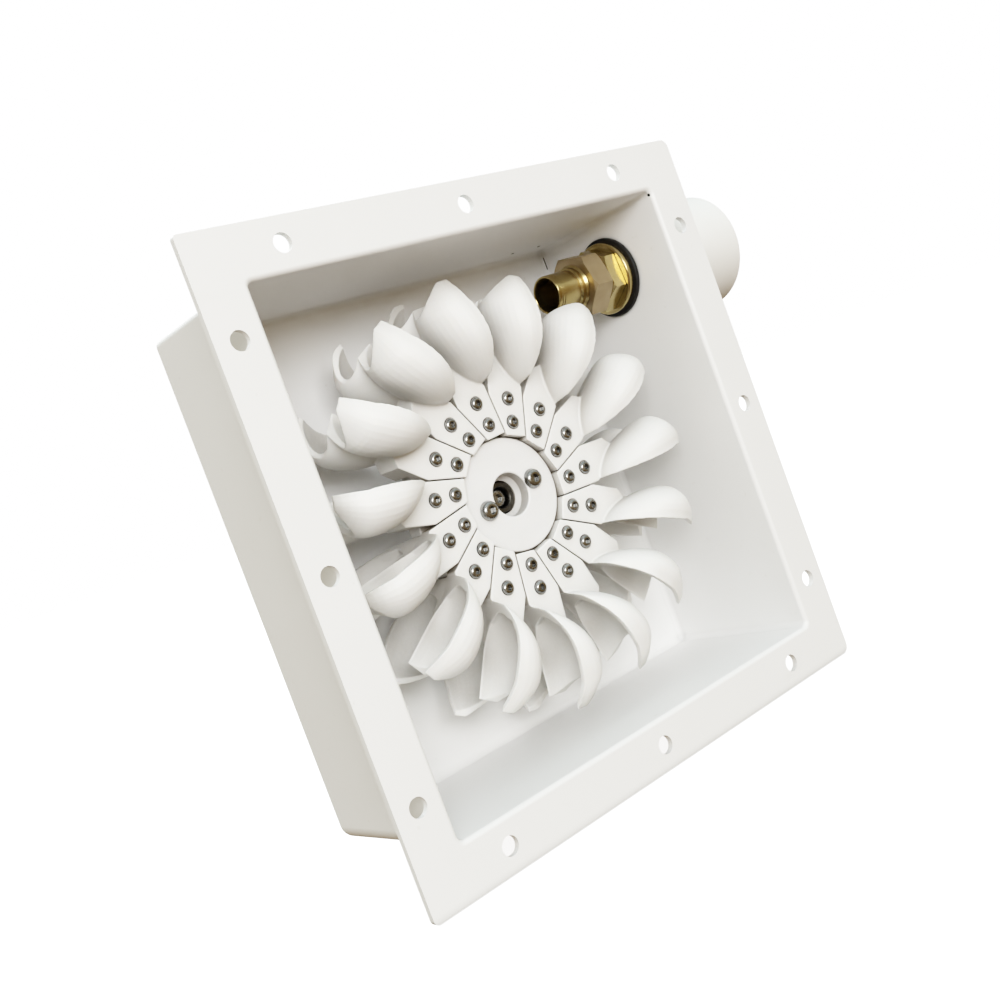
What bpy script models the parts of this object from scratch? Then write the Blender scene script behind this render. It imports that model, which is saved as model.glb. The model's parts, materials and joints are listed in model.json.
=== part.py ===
"""Micro hydro Pelton turbine: an open-fronted flanged casing, a fifteen-bucket runner and one jet nozzle.

Metres. X runs right, Y runs from the flange's face into the casing, Z is up.
The origin is at the middle of the bottom edge of the flange's front face.
"""
import math

import bmesh
import bpy
from mathutils import Matrix, Vector

GAP = 0.0003
DRILL_EXTRA = 0.001
DRILL_SIDES = 24

# Casing
FLANGE_SIDE = 0.300
OPENING = 0.250
SHEET = 0.003
CAVITY_DEPTH = 0.097
FLANGE_CORNERS = (0.0045, 0.0018, 0.0028, 0.0045)
OPENING_CORNER = 0.003
BEND_RADIUS = 0.0028
BEND_STEPS = 3
EDGE_ROUND = 0.0025
HOLE_LINE = 0.138
HOLE_PITCH = 0.1026
HOLE_RADIUS = 0.0045

# Runner: its splitter plane, screws and buckets
BUCKETS = 15
BUCKET_PITCH = 2 * math.pi / BUCKETS
FIRST_BUCKET_ANGLE = math.radians(70.54)
SPLITTER_Y = 0.050
HUB_RADIUS = 0.0296
HUB_FACE = 0.005
HUB_PLATE_RADIUS = 0.057
HUB_PLATE_FRONT = 0.001
HUB_PLATE_BACK = 0.0088
HUB_RECESS_RADIUS = 0.0112
HUB_RECESS_DEPTH = 0.0068
HUB_SEAT_DEPTH = 0.0088
HUB_BORE_RADIUS = 0.0085

# One bucket, in its own axes: radius out, depth back from the splitter's edge, width from the splitter
RIM_OFFSET = 0.0050
CUP_NOSE = 0.0572
CUP_NOSE_WIDTH = 0.0150
NOSE_ROUND = 0.003
CUP_WIDTH = 0.0338
CUP_WIDEST_AT = 0.083
ROOT_TAPER = 2.1
TIP_TAPER = 2.2
RIM_RISE_FROM = 0.097
RIM_RISE_CURVE = 0.6
SPLITTER_RISE_FROM = 0.067
SPLITTER_RISE_CURVE = 1.5
CUP_DEEPEST_AT = 0.095
DEPTH_CURVE = 0.8
BACK_DEPTH = 0.0198
BACK_LIFT = 0.0032
BACK_OVERHANG = 0.0020
TIP_FALL = 0.0089
RIM_EDGE = 0.0015
RIM_BAND = 0.0030
GROOVE_SHARE = 0.35
HOLLOW_DEPTH = 0.0170
HOLLOW_ROOT = 0.0635
HOLLOW_ROOT_INNER = 0.0040
HOLLOW_ROOT_OUTER = 0.0055
HOLLOW_LID = 0.008
CUTTER_EXTRA = 0.003
END_CUT_REACH = 0.025
SPLITTER_EDGE = 0.0003
SPLITTER_ROOT = 0.0057
SPLITTER_THIN_AT = 0.080
SPLITTER_TIP = 0.1042
NOTCH_BOTTOM = 0.0985
NOTCH_AT = 0.010
FANG_TIP = 0.111
FANG_WIDTH = 0.0206
FANG_INNER = 0.0188
FOOT_FACE = 0.0088
FOOT_INNER = 0.0300
FOOT_STEP = 0.0588
FOOT_OUTER = 0.068
FOOT_OPEN_SIDE = 0.0095
FOOT_NECK_BACK = -0.0115
FOOT_SIDE_GAP = 0.0006
FOOT_SINK = 0.0008
SHOULDER_START = 0.0562
SHOULDER_END = 0.0614
RIB_END = 0.080

# Shaft, its bolt and collar, and its bearing on the back wall
TURNED_EDGE = 0.0006
SHAFT_RADIUS = 0.0085
COLLAR_RADIUS = 0.022
COLLAR_LENGTH = 0.012
COUNTERBORE_RADIUS = 0.0056
COUNTERBORE_DEPTH = 0.0054
BOLT_RADIUS = 0.0050
BOLT_HEIGHT = 0.0025
BOLT_SOCKET_RADIUS = 0.0022
BOLT_SOCKET_DEPTH = 0.0018
SHAFT_END = 0.146
BORE_CLEARANCE = 0.0015
BEARING_FLANGE_RADIUS = 0.038
BEARING_FLANGE_THICKNESS = 0.006
BEARING_BODY_RADIUS = 0.026
BEARING_END = 0.132

# Jet nozzle, on an axis along X through the right wall
JET_HEIGHT = 0.2423
WALL_HOLE_RADIUS = 0.0140
JET_MOUTH_X = 0.074
JET_TUBE_RADIUS = 0.0106
JET_BORE_RADIUS = 0.0093
JET_LIP = 0.0006
HEX_FRONT_X = 0.0950
HEX_BACK_X = 0.1085
HEX_RADIUS = 0.0186
HEX_TURN = math.radians(-13)
LOCKNUT_TURN = math.radians(-26)
LOCKNUT_FRONT_X = HEX_BACK_X + GAP
LOCKNUT_BACK_X = 0.1182
LOCKNUT_RADIUS = 0.0182
WASHER_RADIUS = 0.0202
WASHER_EDGE = 0.0012
WASHER_BACK_X = 0.1222
TAIL_RADIUS = 0.0132
TAIL_BORE = 0.0100
GASKET_RADIUS = 0.0224
GASKET_EDGE = 0.0006
SOCKET_RADIUS = 0.0330
SOCKET_NECK_RADIUS = 0.0290
SOCKET_END_X = 0.202
SOCKET_BORE = 0.0294
SOCKET_BORE_DEPTH = 0.038
SOCKET_RIM = 0.0018
SOCKET_COLLAR_LENGTH = 0.007
SOCKET_NECK_END = 0.016
SOCKET_SHOULDER_END = 0.022

HALF_FLANGE = FLANGE_SIDE / 2
HALF_OPENING = OPENING / 2
WHEEL_CENTRE = Vector((0.0, SPLITTER_Y, HALF_FLANGE))
BACK_FRONT_Y = CAVITY_DEPTH + GAP
BACK_REAR_Y = BACK_FRONT_Y + SHEET


def clear_scene():
    for item in list(bpy.data.objects):
        bpy.data.objects.remove(item, do_unlink=True)


def make_material(name, colour, roughness, metallic=0.0):
    material = bpy.data.materials.new(name)
    material.use_nodes = True
    shader = material.node_tree.nodes["Principled BSDF"]
    shader.inputs["Base Color"].default_value = (*colour, 1.0)
    shader.inputs["Roughness"].default_value = roughness
    shader.inputs["Metallic"].default_value = metallic
    return material


def make_object(name, mesh, material, smooth_angle=None):
    mesh.materials.clear()
    mesh.materials.append(material)
    if smooth_angle:
        mesh.shade_smooth()
        mesh.set_sharp_from_angle(angle=math.radians(smooth_angle))
    item = bpy.data.objects.new(name, mesh)
    bpy.context.scene.collection.objects.link(item)
    return item


def mesh_from(build, name="shape"):
    """Fill a new mesh with what build(bm) makes, with its faces pointing out."""
    bm = bmesh.new()
    build(bm)
    bmesh.ops.recalc_face_normals(bm, faces=bm.faces)
    mesh = bpy.data.meshes.new(name)
    bm.to_mesh(mesh)
    bm.free()
    return mesh


def turned(profile, segments, placement):
    """A closed profile of (radius, along) points, turned about the Z axis and then placed."""
    def build(bm):
        corners = [bm.verts.new((radius, 0.0, along)) for radius, along in profile]
        edges = [bm.edges.new((a, b)) for a, b in zip(corners, corners[1:] + corners[:1])]
        bmesh.ops.spin(bm, geom=corners + edges, axis=(0, 0, 1), cent=(0, 0, 0), steps=segments,
                       angle=2 * math.pi, use_merge=True)
        bmesh.ops.remove_doubles(bm, verts=bm.verts, dist=0.00001)
        bmesh.ops.transform(bm, matrix=placement, verts=bm.verts)
    return mesh_from(build)


def ring_section(inner, outer, near, far, near_edge=0.0, far_edge=0.0):
    """Section of a ring, or of a rod where inner is 0, with its outer corners chamfered."""
    section = [(inner, near), (outer - near_edge, near)]
    if near_edge:
        section.append((outer, near + near_edge))
    section.append((outer, far - far_edge))
    if far_edge:
        section.append((outer - far_edge, far))
    return section + [(inner, far)]


def along_x(x=0.0):
    """Turn a shape made along Z so that it runs along +X on the jet's axis."""
    return Matrix.Translation((x, SPLITTER_Y, JET_HEIGHT)) @ Matrix.Rotation(math.pi / 2, 4, "Y")


def along_y(y=0.0):
    """Turn a shape made along Z so that it runs along +Y on the wheel's axis."""
    return Matrix.Translation((0, y, HALF_FLANGE)) @ Matrix.Rotation(-math.pi / 2, 4, "X")


def drill_mesh(radius, depth, placement):
    """A round cutter that passes right through a thickness."""
    ends = -DRILL_EXTRA, depth + DRILL_EXTRA
    return turned([(0, ends[0]), (radius, ends[0]), (radius, ends[1]), (0, ends[1])], DRILL_SIDES, placement)


def extruded(outline, depth, placement):
    """A flat outline of (x, y) points, extruded along +Z and then placed."""
    def build(bm):
        face = bm.faces.new([bm.verts.new((x, y, 0)) for x, y in outline])
        pushed = bmesh.ops.extrude_face_region(bm, geom=[face])["geom"]
        moved = [part for part in pushed if isinstance(part, bmesh.types.BMVert)]
        bmesh.ops.translate(bm, vec=(0, 0, depth), verts=moved)
        bmesh.ops.transform(bm, matrix=placement, verts=bm.verts)
    return mesh_from(build)


def box_mesh(low, high):
    size = [b - a for a, b in zip(low, high)]
    centre = [(a + b) / 2 for a, b in zip(low, high)]
    place = Matrix.Translation(centre) @ Matrix.Diagonal((*size, 1.0))
    return mesh_from(lambda bm: bmesh.ops.create_cube(bm, size=1.0, matrix=place))


def bevel_edges(item, width, segments, chosen):
    """Round the edges of an object's mesh for which chosen(first, second) is true."""
    bm = bmesh.new()
    bm.from_mesh(item.data)
    edges = [edge for edge in bm.edges if chosen(edge.verts[0].co, edge.verts[1].co)]
    bmesh.ops.bevel(bm, geom=edges, offset=width, segments=segments, profile=0.5, affect="EDGES")
    bm.to_mesh(item.data)
    bm.free()


def cut(item, cutters):
    """Cut an object with a mesh that stays hidden."""
    cutter = bpy.data.objects.new(item.name + "_cutter", cutters)
    bpy.context.scene.collection.objects.link(cutter)
    cutter.hide_render = True
    cutter.display_type = "WIRE"
    modifier = item.modifiers.new("holes", "BOOLEAN")
    modifier.operation = "DIFFERENCE"
    modifier.solver = "EXACT"
    modifier.object = cutter


def rounded_square(bm, half, corners, y, steps=3):
    """A ring of points at depth y on a square with round corners, from the top right corner on."""
    ring = []
    for quarter, corner in enumerate(corners):
        centre = Vector((half - corner, half - corner))
        centre.rotate(Matrix.Rotation(math.pi / 2 * quarter, 2))
        for step in range(steps + 1):
            angle = math.pi / 2 * (quarter + step / steps)
            x = centre.x + corner * math.cos(angle)
            z = centre.y + corner * math.sin(angle)
            ring.append(bm.verts.new((x, y, HALF_FLANGE + z)))
    return ring


def join_rings(bm, first, second):
    for index in range(len(first)):
        after = (index + 1) % len(first)
        bm.faces.new((first[index], first[after], second[after], second[index]))


def front_flange(material):
    """The flat frame, with its inner edge rounded where the sheet bends into the walls."""
    def build(bm):
        bend = [(HALF_OPENING, SHEET)]
        for step in range(BEND_STEPS + 1):
            angle = math.pi / 2 * step / BEND_STEPS
            half = HALF_OPENING + BEND_RADIUS * (1 - math.cos(angle))
            bend.append((half, BEND_RADIUS * (1 - math.sin(angle))))
        rings = []
        for half, y in bend + [(HALF_FLANGE, 0.0), (HALF_FLANGE, SHEET)]:
            share = (half - HALF_OPENING) / (HALF_FLANGE - HALF_OPENING)
            corners = [OPENING_CORNER + share * (corner - OPENING_CORNER) for corner in FLANGE_CORNERS]
            rings.append(rounded_square(bm, half, corners, y))
        for first, second in zip(rings, rings[1:] + rings[:1]):
            join_rings(bm, first, second)
    flange = make_object("front_flange", mesh_from(build), material, 40)
    cut(flange, mesh_from(bolt_hole_cutters))
    return flange


def bolt_hole_cutters(bm):
    """Twelve drills, three along each side of the flange."""
    for quarter in range(4):
        for shift in (-HOLE_PITCH, 0.0, HOLE_PITCH):
            spot = Vector((shift, HOLE_LINE))
            spot.rotate(Matrix.Rotation(math.pi / 2 * quarter, 2))
            spin = Matrix.Rotation(math.pi / 2, 4, "X")
            place = Matrix.Translation((spot.x, SHEET / 2, HALF_FLANGE + spot.y)) @ spin
            bmesh.ops.create_cone(bm, cap_ends=True, segments=16, radius1=HOLE_RADIUS, radius2=HOLE_RADIUS,
                                  depth=SHEET * 3, matrix=place)


def casing_walls(material):
    """Four walls between the flange and the back wall, which closes the whole outline."""
    near, far = SHEET + GAP, CAVITY_DEPTH
    inner, outer = HALF_OPENING, HALF_OPENING + SHEET
    low, high = HALF_FLANGE - inner, HALF_FLANGE + inner
    top = make_object("top_wall", box_mesh((-outer, near, high), (outer, far, high + SHEET)), material)
    bottom = make_object("bottom_wall", box_mesh((-outer, near, low - SHEET), (outer, far, low)), material)
    left = make_object("left_wall", box_mesh((-outer, near, low + GAP), (-inner, far, high - GAP)), material)
    right = make_object("right_wall", box_mesh((inner, near, low + GAP), (outer, far, high - GAP)), material)
    cut(right, drill_mesh(WALL_HOLE_RADIUS, SHEET, along_x(inner)))
    closing = box_mesh((-outer, BACK_FRONT_Y, low - SHEET), (outer, BACK_REAR_Y, high + SHEET))
    back = make_object("back_wall", closing, material, 40)
    for wall, side in ((top, 1), (bottom, -1)):
        edge_z = HALF_FLANGE + side * outer
        bevel_edges(wall, EDGE_ROUND, 3,
                    lambda a, b: max(abs(a.z - edge_z), abs(b.z - edge_z), abs(a.x - b.x)) < GAP)
    bevel_edges(back, EDGE_ROUND, 3, lambda a, b: min(a.y, b.y) > BACK_REAR_Y - GAP)
    cut(back, drill_mesh(SHAFT_RADIUS + BORE_CLEARANCE, SHEET, along_y(BACK_FRONT_Y)))


def hexagon(radius, turn):
    """Corners of a hexagon; turn is measured from the side that faces the flange."""
    angles = [turn + math.pi / 3 * k for k in range(6)]
    return [(radius * math.sin(angle), -radius * math.cos(angle)) for angle in angles]


def hex_outline_on_jet(radius, turn):
    """The same corners as (x, y) of a shape that along_x() lays across the jet's axis."""
    return [(-height, side) for height, side in hexagon(radius, turn)]


def jet_nozzle(brass, rubber, pvc):
    """Brass tube, hexagon and lock nut inside the right wall, and the pipe socket outside it."""
    def ring(name, inner, outer, front, back, edge, material):
        section = ring_section(inner, outer, 0, back - front, edge)
        make_object(name, turned(section, 32, along_x(front)), material, 40)

    def nut(name, radius, turn, front, back, bore):
        block = extruded(hex_outline_on_jet(radius, turn), back - front, along_x(front))
        item = make_object(name, block, brass, 30)
        cut(item, drill_mesh(bore, back - front, along_x(front)))

    ring("nozzle_tip", JET_BORE_RADIUS, JET_TUBE_RADIUS, JET_MOUTH_X, HEX_FRONT_X - GAP, JET_LIP, brass)
    nut("nozzle_hexagon", HEX_RADIUS, HEX_TURN, HEX_FRONT_X, HEX_BACK_X, JET_BORE_RADIUS)
    ring("nozzle_tail", TAIL_BORE, TAIL_RADIUS, HEX_BACK_X + GAP, HALF_OPENING + SHEET - GAP, 0.0, brass)
    thread = TAIL_RADIUS + GAP
    nut("lock_nut", LOCKNUT_RADIUS, LOCKNUT_TURN, LOCKNUT_FRONT_X, LOCKNUT_BACK_X, thread)
    ring("brass_washer", thread, WASHER_RADIUS, LOCKNUT_BACK_X + GAP, WASHER_BACK_X, WASHER_EDGE, brass)
    ring("rubber_gasket", thread, GASKET_RADIUS, WASHER_BACK_X + GAP, HALF_OPENING - GAP, GASKET_EDGE, rubber)
    pipe_socket(pvc)


def pipe_socket(material):
    """The socket outside the right wall: a collar, a neck and a round bell for the pipe."""
    outside = HALF_OPENING + SHEET + GAP
    length = SOCKET_END_X - outside
    edge, rim, floor = SOCKET_RIM / 2, SOCKET_RIM, length - SOCKET_BORE_DEPTH
    section = [(TAIL_BORE, 0), (SOCKET_RADIUS - edge, 0), (SOCKET_RADIUS, edge),
               (SOCKET_RADIUS, SOCKET_COLLAR_LENGTH), (SOCKET_NECK_RADIUS, SOCKET_COLLAR_LENGTH + edge),
               (SOCKET_NECK_RADIUS, SOCKET_NECK_END), (SOCKET_RADIUS, SOCKET_SHOULDER_END),
               (SOCKET_RADIUS, length - rim), (SOCKET_RADIUS - rim / 3, length - rim / 3),
               (SOCKET_RADIUS - rim, length), (SOCKET_BORE, length), (SOCKET_BORE, floor), (TAIL_BORE, floor)]
    make_object("pipe_socket", turned(section, 32, along_x(outside)), material, 40)


def rim_half_width(radius):
    """Distance from the splitter to the outer edge of a cup's rim, widest past the middle."""
    if radius < CUP_WIDEST_AT:
        share = (CUP_WIDEST_AT - radius) / (CUP_WIDEST_AT - CUP_NOSE)
        return CUP_WIDTH - (CUP_WIDTH - CUP_NOSE_WIDTH) * share ** ROOT_TAPER
    share = (radius - CUP_WIDEST_AT) / (FANG_TIP - CUP_WIDEST_AT)
    return CUP_WIDTH - (CUP_WIDTH - FANG_WIDTH) * share ** TIP_TAPER


def cup_depth(radius, root, deepest, lift=0.0):
    """Depth under the splitter's edge on a cup's middle line: rounded at the root, shallower at the tip."""
    reach = min(max((radius - root) / (CUP_DEEPEST_AT - root), 0.0), 1.0)
    beyond = max((radius - CUP_DEEPEST_AT) / (FANG_TIP - CUP_DEEPEST_AT), 0.0)
    return (deepest + lift) * (1 - (1 - reach) ** 2) ** DEPTH_CURVE - lift - TIP_FALL * beyond ** 1.5


def share_below(radius, start):
    """How far a radius has come from start back to the cup's nose, from 0 to 1."""
    return min(max((start - radius) / (start - CUP_NOSE), 0.0), 1.0)


def open_side_rise(radius, across):
    """Height of the open side over the splitter's edge, from the splitter (0) out to the rim (1)."""
    splitter = share_below(radius, SPLITTER_RISE_FROM) ** SPLITTER_RISE_CURVE
    rim = share_below(radius, RIM_RISE_FROM) ** RIM_RISE_CURVE
    return (FOOT_OPEN_SIDE - FOOT_SINK - RIM_OFFSET) * (splitter + (rim - splitter) * across)


def splitter_half_width(radius):
    """Half the width of the ridge between the hollows, which is a thin edge except near its root."""
    share = min(max((SPLITTER_THIN_AT - radius) / (SPLITTER_THIN_AT - HOLLOW_ROOT), 0.0), 1.0)
    return SPLITTER_EDGE + SPLITTER_ROOT * share ** 1.5


def rounded_step(step, steps):
    """Shares from 0 to 1 that lie closer together at both ends."""
    return 0.5 * (1 - math.cos(math.pi * step / steps))


def cup_backs(bm, along_steps=9, across_steps=6):
    """Both cups as one slab without their hollows: x is the radius, y the width and -z the open side."""
    tops, backs = [], []
    for i in range(along_steps + 1):
        top_row, back_row = [], []
        for j in range(-across_steps, across_steps + 1):
            across = rounded_step(abs(j), across_steps)
            nose = CUP_NOSE + NOSE_ROUND * max(2 * across - 1, 0.0) ** 2
            radius = nose + (FANG_TIP - nose) * (1 - math.cos(math.pi / 2 * i / along_steps))
            depth = cup_depth(radius, nose, BACK_DEPTH, BACK_LIFT)
            rise = open_side_rise(radius, across)
            width = rim_half_width(radius) * across
            if across < 0.5:
                bulge = 1 - GROOVE_SHARE * (1 - 2 * across) ** 2
                overhang = 0.0
            else:
                bulge = math.sqrt(max(1 - (2 * across - 1) ** 2, 0.0))
                overhang = BACK_OVERHANG * math.sin(math.pi * bulge) * max(depth, 0.0) / BACK_DEPTH
            back = depth * bulge + (RIM_EDGE - rise) * (1 - bulge)
            top_row.append(bm.verts.new((radius, math.copysign(width, j), -RIM_OFFSET - rise)))
            back_row.append(bm.verts.new((radius, math.copysign(width + overhang, j), back - RIM_OFFSET)))
        tops.append(top_row)
        backs.append(back_row)
    close_slab(bm, tops, backs)


def close_slab(bm, tops, backs):
    """Faces over two grids of points and round their four sides."""
    for rows in (tops, backs):
        for lower, upper in zip(rows, rows[1:]):
            for k in range(len(lower) - 1):
                bm.faces.new((lower[k], lower[k + 1], upper[k + 1], upper[k]))
    for inner, outer in ((tops[0], backs[0]), (tops[-1], backs[-1]),
                         ([row[0] for row in tops], [row[0] for row in backs]),
                         ([row[-1] for row in tops], [row[-1] for row in backs])):
        for k in range(len(inner) - 1):
            bm.faces.new((inner[k], inner[k + 1], outer[k + 1], outer[k]))


def cup_hollows(bm, along_steps=7, across_steps=8):
    """The two hollows as closed cutters that reach out past the rim and past the fangs."""
    far = FANG_TIP + CUTTER_EXTRA
    for side in (-1, 1):
        lids, bottoms = [], []
        for i in range(along_steps + 1):
            lid_row, bottom_row = [], []
            for j in range(across_steps + 1):
                across = rounded_step(j, across_steps)
                roundness = HOLLOW_ROOT_INNER if across < 0.5 else HOLLOW_ROOT_OUTER
                root = HOLLOW_ROOT + roundness * (2 * across - 1) ** 2
                radius = root + (far - root) * (1 - math.cos(math.pi / 2 * i / along_steps))
                depth = cup_depth(radius, HOLLOW_ROOT, HOLLOW_DEPTH) if i else 0.0
                inner = splitter_half_width(radius)
                width = inner + (rim_half_width(radius) - RIM_BAND - inner) * across
                trough = math.sqrt(max(1 - (2 * across - 1) ** 2, 0.0))
                bottom = depth * trough - open_side_rise(radius, across) * (1 - trough)
                bottom_row.append(bm.verts.new((radius, side * width, bottom - RIM_OFFSET)))
                lid_row.append(bm.verts.new((radius, side * width, -RIM_OFFSET - HOLLOW_LID)))
            lids.append(lid_row)
            bottoms.append(bottom_row)
        close_slab(bm, lids, bottoms)


def cut_end(width):
    """Radius of the cut outer end: the splitter's tip, the notch beside it and the blunt fang."""
    if width < NOTCH_AT:
        return NOTCH_BOTTOM + (SPLITTER_TIP - NOTCH_BOTTOM) * (1 - width / NOTCH_AT) ** 2
    share = min((width - NOTCH_AT) / (FANG_INNER - NOTCH_AT), 1.0)
    return NOTCH_BOTTOM + (FANG_TIP + GAP - NOTCH_BOTTOM) * (1 - math.sqrt(1 - share ** 2))


def end_cutter(steps=6):
    """What is cut off beyond the notches, as an outline in the rim's plane pushed through both cups."""
    widths = [NOTCH_AT * step / steps for step in range(steps)]
    for step in range(steps + 1):
        widths.append(NOTCH_AT + (FANG_INNER - NOTCH_AT) * math.sin(math.pi / 2 * step / steps))
    half = [(cut_end(width), width) for width in widths]
    other_half = [(radius, -width) for radius, width in reversed(half[1:])]
    far = FANG_TIP + CUTTER_EXTRA
    outline = other_half + half + [(far, FANG_INNER), (far, -FANG_INNER)]
    return extruded(outline, 2 * END_CUT_REACH, Matrix.Translation((0, 0, -END_CUT_REACH)))


def foot_open_side(radius):
    """The foot's flat side towards the jet, which slopes down to the rim's plane at the cup."""
    share = min(max((radius - SHOULDER_START) / (SHOULDER_END - SHOULDER_START), 0.0), 1.0)
    return FOOT_OPEN_SIDE + (RIM_OFFSET - FOOT_SINK - FOOT_OPEN_SIDE) * share


def foot_back_side(radius):
    """The foot's slanted side, along the next foot's open side with a thin gap, as far as its neck."""
    turn = BUCKET_PITCH
    slant = FOOT_OPEN_SIDE * math.cos(turn) - (radius - FOOT_OPEN_SIDE * math.sin(turn)) * math.tan(turn)
    return max(slant + FOOT_SIDE_GAP / math.cos(turn), FOOT_NECK_BACK)


def foot_outline(inner):
    """Outline of the foot in (radius, tangent); the tangent is positive on the open side."""
    turn = BUCKET_PITCH
    neck = FOOT_OPEN_SIDE * math.sin(turn) + (FOOT_OPEN_SIDE * math.cos(turn) + FOOT_SIDE_GAP / math.cos(turn)
                                              - FOOT_NECK_BACK) / math.tan(turn)
    open_side = [stop for stop in (inner, SHOULDER_START, SHOULDER_END) if stop >= inner]
    back_side = [FOOT_OUTER] + [stop for stop in (neck,) if stop > inner] + [inner]
    rib_end = [(RIB_END, FOOT_SINK)]
    return [(r, foot_open_side(r)) for r in open_side] + rib_end + [(r, foot_back_side(r)) for r in back_side]


def bucket_mesh():
    """Cups and foot of one bucket joined: +X is outward, +Y runs along the shaft, the hollows face -Z."""
    def flat(outline, low, high):
        lift = Matrix(((1, 0, 0, 0), (0, 0, 1, low), (0, -1, 0, 0), (0, 0, 0, 1)))
        return extruded(outline, high - low, lift)
    plate = flat(foot_outline(FOOT_INNER), -FOOT_FACE, -HUB_PLATE_FRONT - GAP)
    block = flat(foot_outline(FOOT_STEP), -FOOT_FACE / 2, FOOT_FACE)
    bucket = bpy.data.objects.new("bucket", mesh_from(cup_backs))
    bpy.context.scene.collection.objects.link(bucket)
    tools = []
    for operation, mesh in (("UNION", plate), ("UNION", block), ("DIFFERENCE", mesh_from(cup_hollows)),
                            ("DIFFERENCE", end_cutter())):
        tool = bpy.data.objects.new("tool", mesh)
        bpy.context.scene.collection.objects.link(tool)
        step = bucket.modifiers.new("step", "BOOLEAN")
        step.operation = operation
        step.solver = "EXACT"
        step.object = tool
        tools.append(tool)
    depsgraph = bpy.context.evaluated_depsgraph_get()
    mesh = bpy.data.meshes.new_from_object(bucket.evaluated_get(depsgraph), depsgraph=depsgraph)
    for item in (bucket, *tools):
        bpy.data.objects.remove(item, do_unlink=True)
    return mesh


def runner(nylon, steel, dark_steel):
    """The hub, its buckets and the shaft, all turning about the wheel's axis."""
    axis = bpy.data.objects.new("wheel_axis", None)
    axis.location = WHEEL_CENTRE
    bpy.context.scene.collection.objects.link(axis)

    shape = bucket_mesh()
    for index in range(BUCKETS):
        bucket = make_object(f"bucket_{index + 1:02d}", shape, nylon, 35)
        bucket.parent = axis
        bucket.rotation_euler = (0, BUCKET_PITCH * index - FIRST_BUCKET_ANGLE, 0)

    def on_axis(name, section, material):
        item = make_object(name, turned(section, 32, Matrix.Rotation(-math.pi / 2, 4, "X")), material, 40)
        item.parent = axis

    face, edge = -HUB_FACE, TURNED_EDGE
    recess, seat = face + HUB_RECESS_DEPTH, face + HUB_SEAT_DEPTH
    bore = HUB_BORE_RADIUS + GAP
    on_axis("hub_disc", [(bore, seat), (HUB_RECESS_RADIUS, recess), (HUB_RECESS_RADIUS, face + edge),
                         (HUB_RECESS_RADIUS + edge, face), (HUB_RADIUS - edge, face),
                         (HUB_RADIUS, face + edge), (HUB_RADIUS, -HUB_PLATE_FRONT),
                         (HUB_PLATE_RADIUS, -HUB_PLATE_FRONT), (HUB_PLATE_RADIUS, HUB_PLATE_BACK),
                         (bore, HUB_PLATE_BACK)], nylon)
    near, far = HUB_PLATE_BACK + GAP, HUB_PLATE_BACK + COLLAR_LENGTH
    on_axis("clamp_collar", ring_section(bore, COLLAR_RADIUS, near, far, 0.0, edge), steel)
    near, far, floor = seat, SHAFT_END - SPLITTER_Y, seat + COUNTERBORE_DEPTH
    rod = ring_section(COUNTERBORE_RADIUS, SHAFT_RADIUS, near, far, edge, edge)
    on_axis("wheel_shaft", [(COUNTERBORE_RADIUS, floor)] + rod[:-1] + [(0, far), (0, floor)], dark_steel)
    far = floor - GAP
    near = far - BOLT_HEIGHT
    socket_floor = near + BOLT_SOCKET_DEPTH
    on_axis("shaft_bolt", [(0, socket_floor), (BOLT_SOCKET_RADIUS, socket_floor), (BOLT_SOCKET_RADIUS, near),
                           (BOLT_RADIUS - 2 * edge, near), (BOLT_RADIUS, near + 2 * edge), (BOLT_RADIUS, far),
                           (0, far)], dark_steel)


def bearing(steel):
    """Flanged bearing housing on the back wall, which carries the shaft."""
    front, bore, edge = BACK_REAR_Y + GAP, SHAFT_RADIUS + GAP, TURNED_EDGE
    rear = front + BEARING_FLANGE_THICKNESS
    section = [(bore, front), (BEARING_FLANGE_RADIUS, front), (BEARING_FLANGE_RADIUS, rear - edge),
               (BEARING_FLANGE_RADIUS - edge, rear), (BEARING_BODY_RADIUS, rear),
               (BEARING_BODY_RADIUS, BEARING_END - edge), (BEARING_BODY_RADIUS - edge, BEARING_END),
               (bore, BEARING_END)]
    make_object("bearing_housing", turned(section, 36, along_y()), steel, 40)


def main():
    clear_scene()
    white_paint = make_material("white powder coat", (0.80, 0.80, 0.79), 0.38)
    nylon = make_material("ivory nylon", (0.82, 0.81, 0.77), 0.55)
    brass = make_material("yellow brass", (0.62, 0.46, 0.17), 0.28, 1.0)
    rubber = make_material("black rubber", (0.02, 0.02, 0.022), 0.7)
    pvc = make_material("white pipe plastic", (0.80, 0.80, 0.77), 0.4)
    steel = make_material("plain steel", (0.55, 0.56, 0.57), 0.35, 1.0)
    dark_steel = make_material("dark steel", (0.22, 0.22, 0.23), 0.4, 1.0)
    front_flange(white_paint)
    casing_walls(white_paint)
    jet_nozzle(brass, rubber, pvc)
    bearing(steel)
    runner(nylon, steel, dark_steel)


main()
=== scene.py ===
"""Looks of the micro hydro Pelton turbine: finishes, folded sheet, buckets, screws, light and camera.

Metres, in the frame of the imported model: X right, Y into the casing and along the shaft, Z up.
"""
import json
import math

import bmesh
import bpy
from mathutils import Matrix, Vector


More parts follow.
